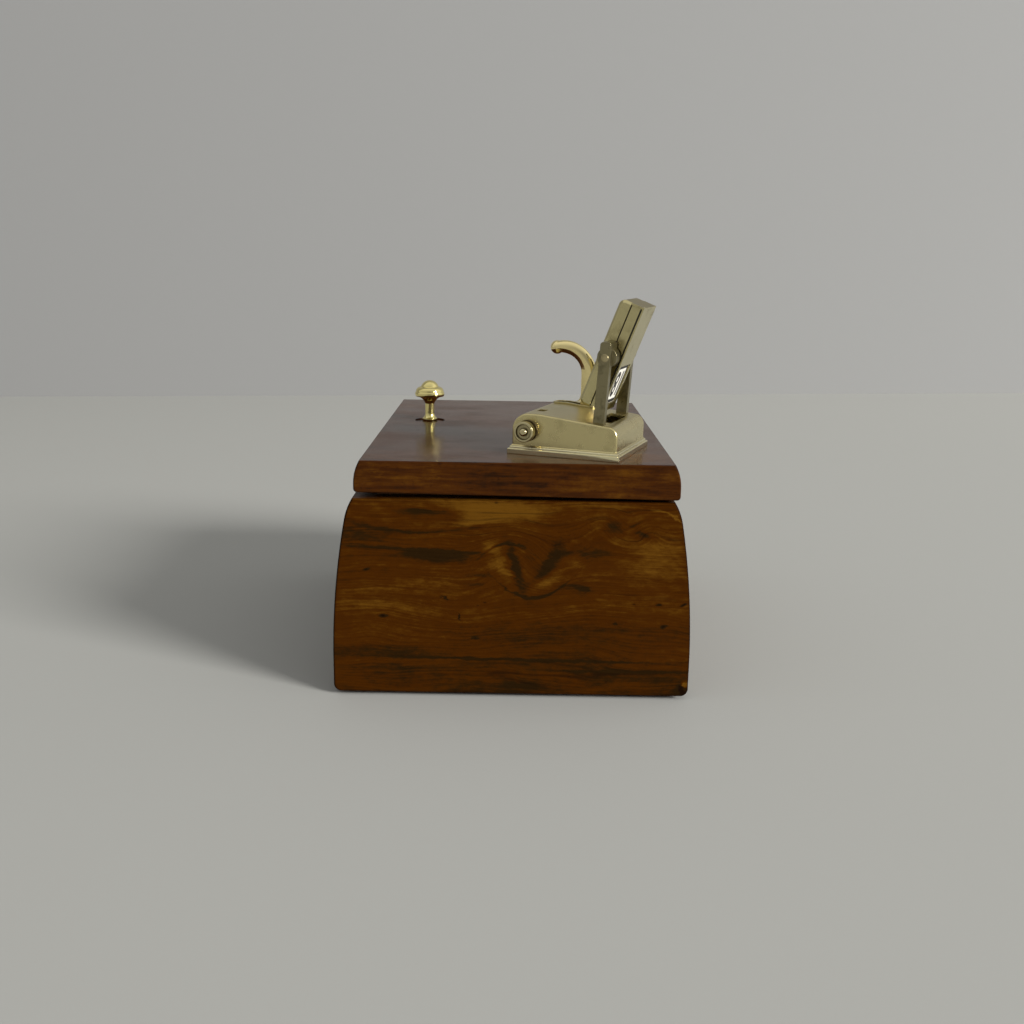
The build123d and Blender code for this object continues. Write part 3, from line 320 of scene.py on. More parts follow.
class Recipe(NodeWork):
    """A material's node tree, with calls that lay noise and relief on the surface."""

    RAY_SAMPLES = 6
    EDGE_RAMP = Ramp(0.995, 0.85)

    def __init__(self, name: str) -> None:
        """Start a material with a Principled surface.

        Args:
            name: the material's name.
        """
        self.material = bpy.data.materials.new(name)
        self.material.use_nodes = True
        super().__init__(self.material.node_tree)
        output = self.tree.nodes.new("ShaderNodeOutputMaterial")
        self.surface = self.tree.nodes.new("ShaderNodeBsdfPrincipled")
        self.tree.links.new(self.surface.outputs["BSDF"], output.inputs["Surface"])

    def finish(self, **sockets: Feed) -> bpy.types.Material:
        """Fill the surface's inputs, whose names are given with underscores for spaces.

        Returns:
            The finished material.
        """
        for key, value in sockets.items():
            self.feed(self.surface.inputs[key.replace("_", " ")], value)
        return self.material

    def place(self) -> Socket:
        """Return the point on the object, in millimetres."""
        return self.scale(self.node("ShaderNodeTexCoord", {}).outputs["Object"], 1 / MM)

    def squeeze(self, place: Feed, cells: Triple, seed: float) -> Socket:
        """Return a place as counted in cells of the given sizes, moved along by a seed."""
        return self.vector("ADD", self.vector("DIVIDE", place, cells), (seed, 2 * seed, -seed))

    def noise(self, place: Feed, cloud: Cloud, seed: float) -> Socket:
        """Return a cloud's noise at a place.

        Args:
            place: the place, in millimetres.
            cloud: the noise.
            seed: the finish's seed.

        Returns:
            The noise, from 0 to 1.
        """
        inputs = {
            "Vector": self.squeeze(place, cloud.cells, seed + cloud.shift),
            "Scale": 1.0,
            "Detail": cloud.detail,
            "Roughness": cloud.roughness,
        }
        return self.node("ShaderNodeTexNoise", inputs).outputs["Fac"]

    def rounded(self, radius: float) -> Socket:
        """Return the normal that an edge eased by a radius in millimetres would have."""
        made = self.node("ShaderNodeBevel", {"Radius": radius * MM}, samples=self.RAY_SAMPLES)
        return made.outputs["Normal"]

    def bump(self, height: Feed, depth: float, radius: float = 0.0) -> Socket:
        """Return the normal of a surface with relief.

        Args:
            height: the relief, from 0 to 1.
            depth: its depth in millimetres.
            radius: what its edges are eased by, in millimetres, where they are eased.

        Returns:
            The normal.
        """
        inputs = {"Height": height, "Distance": depth * MM, "Strength": 1.0}
        if radius:
            inputs["Normal"] = self.rounded(radius)
        return self.node("ShaderNodeBump", inputs).outputs["Normal"]

    def facing(self, axis: Triple) -> Socket:
        """Return 1 where the surface looks along an axis or against it, and 0 where it runs along it."""
        normal = self.node("ShaderNodeTexCoord", {}).outputs["Normal"]
        return self.calc("ABSOLUTE", self.dot(normal, axis))

    def edges(self, radius: float) -> Socket:
        """Return 1 on outer and inner edges within a radius in millimetres, and 0 on flat ground."""
        flat = self.node("ShaderNodeNewGeometry", {}).outputs["Normal"]
        return self.ease(self.dot(self.rounded(radius), flat), self.EDGE_RAMP)

    def openness(self, reach: float) -> Socket:
        """Return 1 on open ground and less in corners, as seen within a reach in millimetres."""
        inputs = {"Distance": reach * MM}
        return self.node("ShaderNodeAmbientOcclusion", inputs, samples=self.RAY_SAMPLES).outputs["AO"]


@dataclass(frozen=True)
class Figure:
    """A knot, swirl, streak or spot in a board's figure.

    Its weight is exp(-(run / length)^2 - (rise / width)^2), where run and rise are measured from
    its middle and rise is taken from the bent line slope * run + curve * run^2. An upright one
    runs across the board. The grain turns about its middle by up to turn degrees, and its tone
    darkens the wood where it is positive and lightens it where it is negative.
    """

    along: float
    across: float
    length: float
    width: float
    tone: float = 0.0
    turn: float = 0.0
    slope: float = 0.0
    curve: float = 0.0
    upright: bool = False

    def weight(self, recipe: Recipe, along: Feed, across: Feed) -> Socket:
        """Return the figure's weight at a place on the board.

        Args:
            recipe: the material in the making.
            along: the place along the grain.
            across: the place across the grain.

        Returns:
            The weight, from 0 to 1.
        """
        run = recipe.minus(along, self.along)
        rise = recipe.minus(across, self.across)
        if self.upright:
            run, rise = rise, run
        if self.slope or self.curve:
            line = recipe.times(run, recipe.add_share(self.slope, run, self.curve))
            rise = recipe.minus(rise, line)
        sizes = (1 / self.length, 1 / self.width, 0.0)
        spot = recipe.vector("MULTIPLY", recipe.join(run, rise, 0.0), sizes)
        return recipe.calc("EXPONENT", recipe.times(recipe.dot(spot, spot), -1.0))

    def turned(self, recipe: Recipe, weight: Feed, along: Feed, across: Feed) -> tuple[Socket, Socket]:
        """Return a place turned about the figure's middle, by its turn times its weight there.

        Args:
            recipe: the material in the making.
            weight: the figure's weight at the place.
            along: the place along the grain.
            across: the place across the grain.

        Returns:
            The turned place, along and across.
        """
        angle = recipe.times(weight, math.radians(self.turn))
        sine = recipe.calc("SINE", angle)
        cosine = recipe.calc("COSINE", angle)
        run = recipe.minus(along, self.along)
        rise = recipe.minus(across, self.across)
        new_run = recipe.minus(recipe.times(run, cosine), recipe.times(rise, sine))
        new_rise = recipe.plus(recipe.times(run, sine), recipe.times(rise, cosine))
        return recipe.plus(new_run, self.along), recipe.plus(new_rise, self.across)


@dataclass(frozen=True)
class Finish:
    """What a surface is finished in."""

    name: str

    def material(self) -> bpy.types.Material:
        """Build the material, which each kind of finish does in its own way."""
        raise NotImplementedError(self.name)


@dataclass(frozen=True)
class WoodTones:
    """A wood's colours: its dark, middle and light bands, and its veins and knots, whose colour also paints
    the shade on its edges and rim.
    """

    dark: Triple
    middle: Triple
    honey: Triple
    vein: Triple


@dataclass(frozen=True)
class WoodFinish(Finish):
    """Lacquered or bare figured wood."""

    grain: Grain
    tones: WoodTones
    seed: float = 0.0
    figures: tuple[Figure, ...] = ()
    contrast: float = 1.5
    band: float = 9.0
    stretch: float = 9.0
    band_depth: float = 3.0
    wander: float = 7.0
    streak: float = 0.35
    streak_tone: float = 0.5
    mottle_tone: float = 0.85
    uneven_along: float = 5.0
    uneven_across: float = 2.2
    veins: float = 0.5
    flecks: float = 0.6
    pores: float = 0.45
    gloss: float = 0.32
    specular: float = 0.03
    # Painted shade: the next fields darken the rounded rim that slants from its axis on the sideways faces,
    # and the edges within edge_width.
    rim_axis: Axis = Axis.LENGTH
    rim: float = 0.85
    edge_dark: float = 0.8
    edge_width: float = 1.9
    edge_radius: float = 0.5
    relief: float = 0.04
    pore_relief: float = -0.4
    streak_relief: float = 0.5

    WANDER = Cloud((60, 28, 50), 0, 2.0)
    BANDS = Cloud((81, 9, 27), 1, 4.0, 0.55)
    STREAKS = Cloud((26, 0.75, 1.6), 2, 4.0, 0.6)
    LINES = Cloud((150, 15, 60), 3, 2.0)
    BREAKS = Cloud((30, 9, 40), 4)
    FLECKS = Cloud((15, 8, 15), 6)
    PORES = Cloud((2.4, 0.3, 1.2), 7, 2.0)
    SMEARS = Cloud((38, 24, 30), 8, 4.0, 0.6)
    UNEVEN = Cloud((5, 2.4, 5), 9, 4.0, 0.65)
    MOTTLE = Cloud((4.5, 2.0, 3.5), 10, 5.0, 0.68)
    LINE_RAMP = Ramp(0.02, 0.0)
    BREAK_RAMP = Ramp(0.45, 0.65)
    FLECK_RAMP = Ramp(0.07, 0.03)
    PORE_RAMP = Ramp(0.6, 0.74)
    MIDDLE_RAMP = Ramp(0.0, 0.5)
    HONEY_RAMP = Ramp(0.5, 1.1)
    STREAK_RAMP = Ramp(0.6, 0.36)
    KNOT_RAMP = Ramp(0.75, 1.25, 0.0, 0.9)
    SLANT_RAMP = Ramp(0.12, 0.35)
    FLAT_RAMP = Ramp(0.985, 0.9)
    SIDE_RAMP = Ramp(0.15, 0.4)
    GLOSS_RAMP = Ramp(0.35, 0.7, 0.75, 1.35)
    STREAK_TINT = (0.6, 0.52, 0.45)
    PORE_TINT = (0.45, 0.36, 0.3)

    def _flow(self, recipe: Recipe, spot: list[Socket], jittered: list[Socket]) -> tuple[Socket, Feed]:
        """Bend the grain round the figures.

        Args:
            recipe: the material in the making.
            spot: the place along, across and through the board.
            jittered: the same place, a little uneven, where the figures are drawn.

        Returns:
            The bent place, and the figures' summed tone.
        """
        tone: Feed = 0.0
        along, across, through = spot
        for figure in self.figures:
            weight = figure.weight(recipe, *jittered)
            tone = recipe.add_share(tone, weight, figure.tone)
            if figure.turn:
                along, across = figure.turned(recipe, weight, along, across)
        wide = recipe.noise(recipe.join(*spot), self.WANDER, self.seed)
        across = recipe.add_share(across, recipe.swing(wide), self.wander * 2)
        return recipe.join(along, across, through), tone

    def _marks(self, recipe: Recipe, ground: Feed, warped: Feed) -> tuple[Socket, Socket]:
        """Draw the small dark marks of the wood.

        Args:
            recipe: the material in the making.
            ground: the place on the board.
            warped: the place bent with the grain.

        Returns:
            The broken veins and the short flecks, each from 0 to 1.
        """
        line = recipe.noise(warped, self.LINES, self.seed)
        vein = recipe.ease(recipe.calc("ABSOLUTE", recipe.swing(line)), self.LINE_RAMP)
        broken = recipe.ease(recipe.noise(ground, self.BREAKS, self.seed), self.BREAK_RAMP)
        vein = recipe.times(recipe.times(vein, broken), self.veins)
        cells = recipe.squeeze(ground, self.FLECKS.cells, self.seed + self.FLECKS.shift)
        spots = recipe.node("ShaderNodeTexVoronoi", {"Vector": cells, "Scale": 1.0})
        return vein, recipe.times(recipe.ease(spots.outputs["Distance"], self.FLECK_RAMP), self.flecks)

    def _dirt(self, recipe: Recipe) -> Socket:
        """Return where painted shade darkens the wood: on its edges and on its rounded rim.

        Args:
            recipe: the material in the making.

        Returns:
            The share of painted shade, from 0 to 1.
        """
        edge = recipe.times(recipe.edges(self.edge_width), self.edge_dark)
        facing = recipe.facing(self.rim_axis.value)
        slant = recipe.times(recipe.ease(facing, self.SLANT_RAMP), recipe.ease(facing, self.FLAT_RAMP))
        beside = recipe.ease(recipe.facing(Axis.WIDTH.value), self.SIDE_RAMP, self.rim)
        return recipe.calc("MAXIMUM", edge, recipe.times(slant, beside))

    def material(self) -> bpy.types.Material:
        """Build the wood: bands and streaks of warped noise stretched along the grain.

        Returns:
            The material.
        """
        recipe = Recipe(self.name)
        numbers = recipe.split(recipe.place())
        spot = [numbers[index] for index in self.grain.value]
        ground = recipe.join(*spot)
        uneven = recipe.swing(recipe.noise(ground, self.UNEVEN, self.seed))
        jittered = [
            recipe.add_share(spot[0], uneven, self.uneven_along),
            recipe.add_share(spot[1], uneven, self.uneven_across),
        ]
        warped, tone = self._flow(recipe, spot, jittered)
        cells = (self.band * self.stretch, self.band, self.band * self.band_depth)
        broad = recipe.noise(warped, replace(self.BANDS, cells=cells), self.seed)
        streaks = recipe.noise(warped, self.STREAKS, self.seed)
        mottle = recipe.noise(ground, self.MOTTLE, self.seed)
        pores = recipe.ease(recipe.noise(warped, self.PORES, self.seed), self.PORE_RAMP)
        vein, fleck = self._marks(recipe, ground, warped)

        level = recipe.add_share(0.5, recipe.swing(broad), self.contrast)
        level = recipe.add_share(level, recipe.swing(mottle), self.mottle_tone)
        level = recipe.add_share(level, recipe.swing(streaks), self.streak_tone)
        level = recipe.minus(level, tone)
        colour = recipe.blend(recipe.ease(level, self.MIDDLE_RAMP), self.tones.dark, self.tones.middle)
        colour = recipe.blend(recipe.ease(level, self.HONEY_RAMP), colour, self.tones.honey)
        colour = recipe.tint(recipe.ease(streaks, self.STREAK_RAMP, self.streak), colour, self.STREAK_TINT)
        colour = recipe.tint(recipe.times(pores, self.pores), colour, self.PORE_TINT)
        colour = recipe.blend(recipe.ease(tone, self.KNOT_RAMP), colour, self.tones.vein)
        colour = recipe.blend(recipe.calc("MAXIMUM", vein, fleck), colour, self.tones.vein)
        # Painted shade on the edges and the rounded rim, in the vein colour.
        colour = recipe.blend(self._dirt(recipe), colour, self.tones.vein)

        smears = recipe.noise(ground, self.SMEARS, self.seed)
        height = recipe.add_share(recipe.times(streaks, self.streak_relief), pores, self.pore_relief)
        height = recipe.plus(recipe.minus(height, recipe.plus(fleck, vein)), mottle)
        return recipe.finish(
            Base_Color=colour,
            Roughness=recipe.ease(smears, self.GLOSS_RAMP, self.gloss),
            Normal=recipe.bump(height, self.relief, self.edge_radius),
            Specular_IOR_Level=self.specular,
        )


@dataclass(frozen=True)
class MetalFinish(Finish):
    """Polished or aged metal with rounded bright edges, tarnish and painted shade in its corners, painted
    shade on faces along an axis, and fine scratches.
    """

    colour: Triple
    tarnish: Triple
    seed: float = 0.0
    rough: float = 0.14
    rough_spread: float = 0.1
    grime_rough: float = 0.25
    spots: float = 0.35
    # Corners within the reach darken towards the second colour: tarnish together with painted shade.
    corner: float = 0.7
    corner_reach: float = 1.6
    corner_start: float = 0.75
    corner_fall: float = 0.5
    # Faces that look along the next axis are darkened by the share after it: painted shade.
    dull_axis: Triple = Axis.HEIGHT.value
    dull: float = 0.0
    edge_radius: float = 0.3
    relief: float = 0.012
    dent_relief: float = 2.5

    DENTS = Cloud((7, 7, 7), 0, 5.0, 0.6)
    SPECKS = Cloud((1.3, 1.3, 1.3), 1, 3.0, 0.6)
    SCRATCHES = Cloud((5, 0.22, 1.4), 2, 3.0, 0.6)
    SPOT_RAMP = Ramp(0.5, 0.78)
    SPECK_RAMP = Ramp(0.66, 0.76)
    DULL_RAMP = Ramp(0.8, 0.95)

    def _grime(self, recipe: Recipe, dents: Feed) -> Socket:
        """Return where the metal darkens: tarnish with painted shade in corners, tarnish in spots, and
        painted shade on the faces along an axis.

        Args:
            recipe: the material in the making.
            dents: the broad noise that the spots follow.

        Returns:
            The share of tarnish, from 0 to 1.
        """
        # Tarnish together with painted shade in corners.
        corner_ramp = Ramp(self.corner_start, self.corner_start - self.corner_fall)
        corner = recipe.ease(recipe.openness(self.corner_reach), corner_ramp, self.corner)
        tarnish_and_shade = recipe.calc("MAXIMUM", corner, recipe.ease(dents, self.SPOT_RAMP, self.spots))
        # Painted shade on the faces that look along the axis.
        if self.dull:
            shaded_faces = recipe.ease(recipe.facing(self.dull_axis), self.DULL_RAMP, self.dull)
            tarnish_and_shade = recipe.calc("MAXIMUM", tarnish_and_shade, shaded_faces)
        return tarnish_and_shade

    def material(self) -> bpy.types.Material:
        """Build the metal.

        Returns:
            The material.
        """
        recipe = Recipe(self.name)
        ground = recipe.place()
        dents = recipe.noise(ground, self.DENTS, self.seed)
        specks = recipe.ease(recipe.noise(ground, self.SPECKS, self.seed), self.SPECK_RAMP, self.spots)
        scratches = recipe.noise(ground, self.SCRATCHES, self.seed)
        tarnish_and_shade = self._grime(recipe, dents)
        colour = recipe.blend(tarnish_and_shade, self.colour, self.tarnish)
        rough = recipe.plus(self.rough, recipe.times(dents, self.rough_spread))
        height = recipe.plus(recipe.times(dents, self.dent_relief), scratches)
        return recipe.finish(
            Base_Color=recipe.blend(specks, colour, self.tarnish),
            Roughness=recipe.plus(rough, recipe.times(tarnish_and_shade, self.grime_rough)),
            Normal=recipe.bump(height, self.relief, self.edge_radius),
            Metallic=1.0,
        )


@dataclass(frozen=True)
class FeltFinish(Finish):
    """Matt wool felt with a cloudy nap."""

    colour: Triple
    light: Triple
    seed: float = 0.0
    rough: float = 0.95
    specular: float = 0.15
    sheen: float = 0.25
    sheen_rough: float = 0.5
    nap_depth: float = 0.25

    NAP = Cloud((0.35, 0.35, 0.35), 0, 4.0, 0.7)
    WEAR = Cloud((14, 14, 14), 1)
    LIGHT_RAMP = Ramp(0.3, 0.75)

    def material(self) -> bpy.types.Material:
        """Build the felt.

        Returns:
            The material.
        """
        recipe = Recipe(self.name)
        ground = recipe.place()
        nap = recipe.noise(ground, self.NAP, self.seed)
        wear = recipe.noise(ground, self.WEAR, self.seed)
        mean = recipe.times(recipe.plus(nap, wear), 0.5)
        return recipe.finish(
            Base_Color=recipe.blend(recipe.ease(mean, self.LIGHT_RAMP), self.colour, self.light),
            Roughness=self.rough,
            Normal=recipe.bump(nap, self.nap_depth),
            Specular_IOR_Level=self.specular,
            Sheen_Weight=self.sheen,
            Sheen_Roughness=self.sheen_rough,
        )


@dataclass(frozen=True)
class CardFinish(Finish):
    """Matt paper or printing ink, with fibres and a little foxing."""

    colour: Triple
    stain: Triple
    seed: float = 0.0
    rough: float = 0.7
    specular: float = 0.3
    fibre_depth: float = 0.01

    FOXING = Cloud((4, 4, 4), 0, 4.0, 0.6)
    FIBRES = Cloud((0.15, 0.15, 0.5), 1, 2.0)
    STAIN_RAMP = Ramp(0.45, 0.8, 0.0, 0.6)

    def material(self) -> bpy.types.Material:
        """Build the paper or ink.

        Returns:
            The material.
        """
        recipe = Recipe(self.name)
        ground = recipe.place()
        stained = recipe.ease(recipe.noise(ground, self.FOXING, self.seed), self.STAIN_RAMP)
        fibres = recipe.noise(ground, self.FIBRES, self.seed)
        return recipe.finish(
            Base_Color=recipe.blend(stained, self.colour, self.stain),
            Roughness=self.rough,
            Normal=recipe.bump(fibres, self.fibre_depth),
            Specular_IOR_Level=self.specular,
        )


SWIRL_FIGURES = (
    Figure(6, 56, 13, 11, turn=60),
    Figure(1.2, 54, 8.5, 1.9, tone=0.75, slope=-0.28, upright=True),
    Figure(14.5, 55, 8.5, 2.7, tone=0.6, slope=0.62, curve=-0.03, upright=True),
    Figure(7.5, 41.4, 12, 0.55, tone=0.95, curve=0.035),
    Figure(24.5, 46.3, 6, 1.3, tone=0.5, slope=-0.1),
    Figure(28.3, 45.3, 1.6, 1.2, tone=0.6),
    Figure(-3.8, 53, 7, 2.8, tone=-0.36, slope=-0.42, upright=True),
    Figure(15, 49.6, 8, 2.6, tone=-0.36, slope=0.62, curve=0.01),
    Figure(25, 55, 3, 2.6, tone=-0.3),
    Figure(4, 60, 3.5, 2.0, tone=-0.2),
    Figure(-1.4, 63.2, 9, 0.6, tone=0.85, curve=-0.045),
    Figure(-13.4, 50.4, 6.5, 1.5, tone=0.5),
    Figure(-15, 46.6, 4.5, 0.9, tone=0.5),
)
STREAK_FIGURES = (
    Figure(-38, 60.3, 28, 0.7, tone=0.6, slope=-0.045),
    Figure(-27, 57.6, 10, 1.9, tone=0.85),
    Figure(-38, 58.6, 7, 1.3, tone=0.4),
    Figure(-36, 67, 27, 0.9, tone=0.5, curve=0.0055),
    Figure(-27, 74.5, 14, 2.4, tone=0.4),
    Figure(-58, 66, 12, 3.2, tone=0.4),
    Figure(32, 60, 14, 2.4, tone=0.35),
    Figure(-48, 18.4, 26, 3.2, tone=0.45),
    Figure(8, 15.9, 50, 0.5, tone=0.75, slope=-0.01),
    Figure(48, 11.6, 24, 0.5, tone=0.75),
    Figure(-50, 12, 22, 1.6, tone=0.3),
    Figure(4, 5, 12, 2.2, tone=0.35),
    Figure(12, 25, 40, 8, tone=0.1),
    Figure(10, 4, 90, 9, tone=0.28),
    Figure(-38, 75.3, 9, 1.2, tone=0.45),
)
LIGHT_FIGURES = (
    Figure(-10, 75.5, 14, 4, tone=-0.82),
    Figure(-14, 71.3, 8, 1.4, tone=-0.45, slope=0.2),
    Figure(6, 76.5, 15, 2.2, tone=-0.42),
    Figure(36, 78.4, 12, 1.1, tone=-0.35),
    Figure(0, 84, 95, 13, tone=-0.14),
    Figure(0, 37, 60, 10, tone=-0.1),
    Figure(54, 57, 17, 10, tone=-0.42),
    Figure(-8, 61, 4, 3, tone=-0.4),
    Figure(-55, 41, 8, 5, tone=-0.16),
    Figure(-30, 44, 30, 7, tone=-0.08),
    Figure(60, 75.2, 7, 0.35, tone=-0.8, slope=-0.5, curve=-0.03),
)
KNOT_FIGURES = (
    Figure(38.5, 70.3, 7, 5.5, tone=-0.25, turn=70),
    Figure(38.5, 70.3, 3.9, 2.9, tone=0.85),
    Figure(50, 66.5, 5, 4, tone=0.1, turn=-60),
    Figure(49.5, 67.6, 3, 1.3, tone=0.55, slope=-0.4),
    Figure(46, 71, 4, 0.7, tone=0.5, slope=0.5),
    Figure(67.6, 3.4, 2.2, 1.6, tone=1.5),
    Figure(66.6, 5.6, 1.1, 1.0, tone=1.2),
    Figure(68.6, 6.6, 1.3, 1.2, tone=-1.2),
)
FLECK_FIGURES = (
    Figure(-56.5, 52, 1.2, 0.45, tone=1.3, slope=0.25),
    Figure(-26.4, 41, 1.2, 0.45, tone=1.3, slope=-0.6),
    Figure(-50.2, 33.3, 1.7, 0.6, tone=1.5),
    Figure(-20.4, 33.3, 1.0, 0.5, tone=1.3, slope=-1.2),
    Figure(-13.9, 24.8, 0.9, 0.5, tone=1.1),
    Figure(57, 39.5, 1.1, 0.5, tone=1.3),
    Figure(66.3, 39.5, 1.3, 0.5, tone=1.4, slope=0.5),
    Figure(59, 30.5, 0.8, 0.6, tone=1.3),
    Figure(40.3, 31.4, 0.6, 0.5, tone=1.0),
)
END_FIGURES = SWIRL_FIGURES + STREAK_FIGURES + LIGHT_FIGURES + KNOT_FIGURES + FLECK_FIGURES
LID_FIGURES = (
    Figure(-32.7, 21.6, 0.9, 0.7, tone=1.4),
    Figure(-58.6, -9, 1.2, 1.6, tone=1.2),
    Figure(-30, -10, 34, 14, turn=12, tone=0.3),
    Figure(30, 40, 30, 16, turn=-14, tone=0.1),
    Figure(52, -70, 14, 9, tone=-0.3),
)

VEIN_BROWN = (0.008, 0.0028, 0.0009)
WALNUT = WoodTones((0.0195, 0.0088, 0.0017), (0.054, 0.0150, 0.0004), (0.122, 0.051, 0.0040), VEIN_BROWN)
LID_WALNUT = WoodTones((0.019, 0.0065, 0.0012), (0.052, 0.0142, 0.0005), (0.102, 0.037, 0.002), VEIN_BROWN)
CEDAR = WoodTones((0.10, 0.045, 0.016), (0.17, 0.08, 0.03), (0.25, 0.13, 0.05), (0.04, 0.016, 0.006))
BARE_BOARD = WoodTones((0.16, 0.09, 0.04), (0.24, 0.14, 0.065), (0.32, 0.2, 0.1), (0.06, 0.03, 0.012))

BODY_WOOD = WoodFinish(
    "body_wood", Grain.ACROSS_BOX, WALNUT, seed=3.1, figures=END_FIGURES, contrast=1.0
)
FAR_END_WOOD = WoodFinish("far_end_wood", Grain.ACROSS_BOX, WALNUT, seed=6.3, figures=KNOT_FIGURES)
WALL_WOOD = WoodFinish("wall_wood", Grain.LENGTHWISE, WALNUT, seed=8.4, edge_dark=0.6)
# The lid's edges and rounded side rim are darkened as painted shade.
LID_WOOD = WoodFinish(
    "lid_wood", Grain.ACROSS_LID, LID_WALNUT, seed=5.7, figures=LID_FIGURES, band=4.0, stretch=11.0,
    wander=4.0, streak=0.7, streak_tone=1.0, veins=0.4, flecks=0.4, gloss=0.2, specular=0.1,
    edge_dark=0.35, rim_axis=Axis.HEIGHT, rim=0.7,
)
LINER_WOOD = WoodFinish(
    "liner_wood", Grain.LENGTHWISE, CEDAR, seed=1.9, veins=0.4, gloss=0.45, specular=0.3, edge_dark=0.3
)
BOTTOM_WOOD = WoodFinish(
    "bottom_wood", Grain.FLOORBOARD, BARE_BOARD, seed=2.6, veins=0.3, gloss=0.6, specular=0.3,
    edge_dark=0.3,
)
# Painted shade darkens the housing's faces that look up.
PLATE_BRASS = MetalFinish(
    "plate_brass", (0.64, 0.55, 0.275), (0.26, 0.21, 0.09), seed=1.0, rough=0.2, dull=0.3
)
PLINTH_BRASS = MetalFinish(
    "plinth_brass", (0.88, 0.80, 0.50), (0.22, 0.17, 0.06), seed=1.5, rough=0.08, corner=0.95
)
# Painted shade darkens the casing's end faces, which look along its length.
CASING_BRASS = MetalFinish(
    "casing_brass", (0.62, 0.545, 0.275), (0.21, 0.165, 0.07), seed=2.0, rough=0.13, spots=0.55,
    dull_axis=CasingFrame().length_axis(), dull=0.8,
)
KNOB_BRASS = MetalFinish(
    "knob_brass", (0.84, 0.72, 0.30), (0.24, 0.17, 0.05), seed=3.0, rough=0.05, spots=0.2,
    edge_radius=0.15,
)
LEVER_BRASS = MetalFinish(
    "lever_brass", (0.94, 0.79, 0.38), (0.42, 0.25, 0.06), seed=4.0, rough=0.04, spots=0.3,
    edge_radius=0.15,
)
POST_BRASS = MetalFinish(
    "post_brass", (0.28, 0.245, 0.135), (0.085, 0.07, 0.036), seed=5.0, rough=0.24, spots=0.9,
    relief=0.09,
)
# Painted shade: the bushes are coloured dark to stand for the shade round the setting knob's flange and the
# casing's pivots.
SHADE_DARK_BUSH_BRASS = MetalFinish(
    "bush_brass", (0.20, 0.15, 0.075), (0.05, 0.035, 0.015), seed=5.5, rough=0.25, spots=0.7
)
HINGE_BRASS = MetalFinish(
    "hinge_brass", (0.70, 0.54, 0.24), (0.24, 0.16, 0.06), seed=6.0, rough=0.26, spots=0.5
)
SCREW_BRASS = MetalFinish(
    "screw_brass", (0.52, 0.44, 0.24), (0.15, 0.11, 0.05), seed=7.0, rough=0.26, spots=0.6
)
# The knob's grooves and corners darken nearly to black: tarnish together with painted shade.
SETTING_BRASS = MetalFinish(
    "setting_brass", (0.60, 0.52, 0.29), (0.07, 0.05, 0.02), seed=8.0, rough=0.12, spots=0.4,
    corner=1.0, corner_reach=1.2, corner_start=1.0,
)
STEEL = MetalFinish("steel", (0.52, 0.52, 0.53), (0.2, 0.17, 0.14), seed=9.0, rough=0.28)
BLACK_FELT = FeltFinish("black_felt", (0.004, 0.004, 0.0045), (0.016, 0.016, 0.017))
INNER_FELT = FeltFinish("inner_felt", (0.012, 0.022, 0.012), (0.03, 0.05, 0.028), seed=4.0)
CARD = CardFinish("card", (0.82, 0.80, 0.73), (0.55, 0.48, 0.36))
# Painted shade: a near-black strip laid in the casing's joints.
SEAM_SHADE = CardFinish("seam_shade", (0.012, 0.009, 0.004), (0.03, 0.022, 0.01), seed=3.0, rough=0.6)
INK = CardFinish("ink", (0.012, 0.012, 0.013), (0.03, 0.028, 0.026), seed=2.0, rough=0.5)


class Workshop:
    """Makes each finish once, dresses solids in it and sets new pieces on their bodies."""

    def __init__(self) -> None:
        """Start with no material made."""
        self._made: dict[str, bpy.types.Material] = {}

    def material(self, finish: Finish) -> bpy.types.Material:
        """Return a finish's material, made at its first use."""
        if finish.name not in self._made:
            self._made[finish.name] = finish.material()
        return self._made[finish.name]

    def dress(self, node: str, finish: Finish) -> None:
        """Give one of the frame's solids its finish.

        Args:
            node: the solid's name in the frame.
            finish: its finish.
        """
        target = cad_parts[node]
        target.data.materials.clear()
        target.data.materials.append(self.material(finish))
        LOG.info("%s: %s", node, finish.name)

    def piece(
        self, name: str, mesh: bpy.types.Mesh, body: Body, finish: Finish, slot: str, smooth: bool = True
    ) -> bpy.types.Object:
        """Put a mesh in the scene as a piece of the object.

        Args:
            name: the piece's name.
            mesh: its mesh, in metres, in the row's frame.
            body: what it rides on.
            finish: its finish.
            slot: not used.
            smooth: whether its faces are shaded smooth.

        Returns:
            The piece.
        """
        mesh.materials.clear()
        mesh.materials.append(self.material(finish))
        mesh.polygons.foreach_set("use_smooth", [smooth] * len(mesh.polygons))
        made = bpy.data.objects.new(name, mesh)
        bpy.context.scene.collection.objects.link(made)
        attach(made, body.value)
        LOG.info("%s: %d faces on %s", name, len(mesh.polygons), body.value)
        return made


def plain_mesh(name: str, points: np.ndarray, faces: Faces) -> bpy.types.Mesh:
    """Return a mesh in metres from points in millimetres and their faces."""
    mesh = bpy.data.meshes.new(name)
    mesh.from_pydata((points * MM).tolist(), [], faces)
    return mesh


def grid_mesh(name: str, points: np.ndarray) -> bpy.types.Mesh:
    """Return the mesh of a grid of points, whose rows are rings.

    A face joins points (i, j), (i, j+1), (i+1, j+1) and (i+1, j). Points that coincide, as at a
    pole, are merged, and faces are turned outwards.

    Args:
        name: the mesh's name.
        points: rows by columns by 3, in millimetres.

    Returns:
        The mesh, in metres.
    """
    rows, columns = points.shape[:2]
    index = np.arange(rows * columns).reshape(rows, columns)
    beside = np.roll(index, -1, axis=1)
    quads = np.stack([index[:-1], beside[:-1], beside[1:], index[1:]], axis=-1)
    mesh = plain_mesh(name, points.reshape(-1, 3), quads.reshape(-1, 4).tolist())
    shape = bmesh.new()
    shape.from_mesh(mesh)
    bmesh.ops.remove_doubles(shape, verts=shape.verts, dist=MERGE_METRES)
    bmesh.ops.recalc_face_normals(shape, faces=shape.faces)
    shape.to_mesh(mesh)
    shape.free()
    return mesh


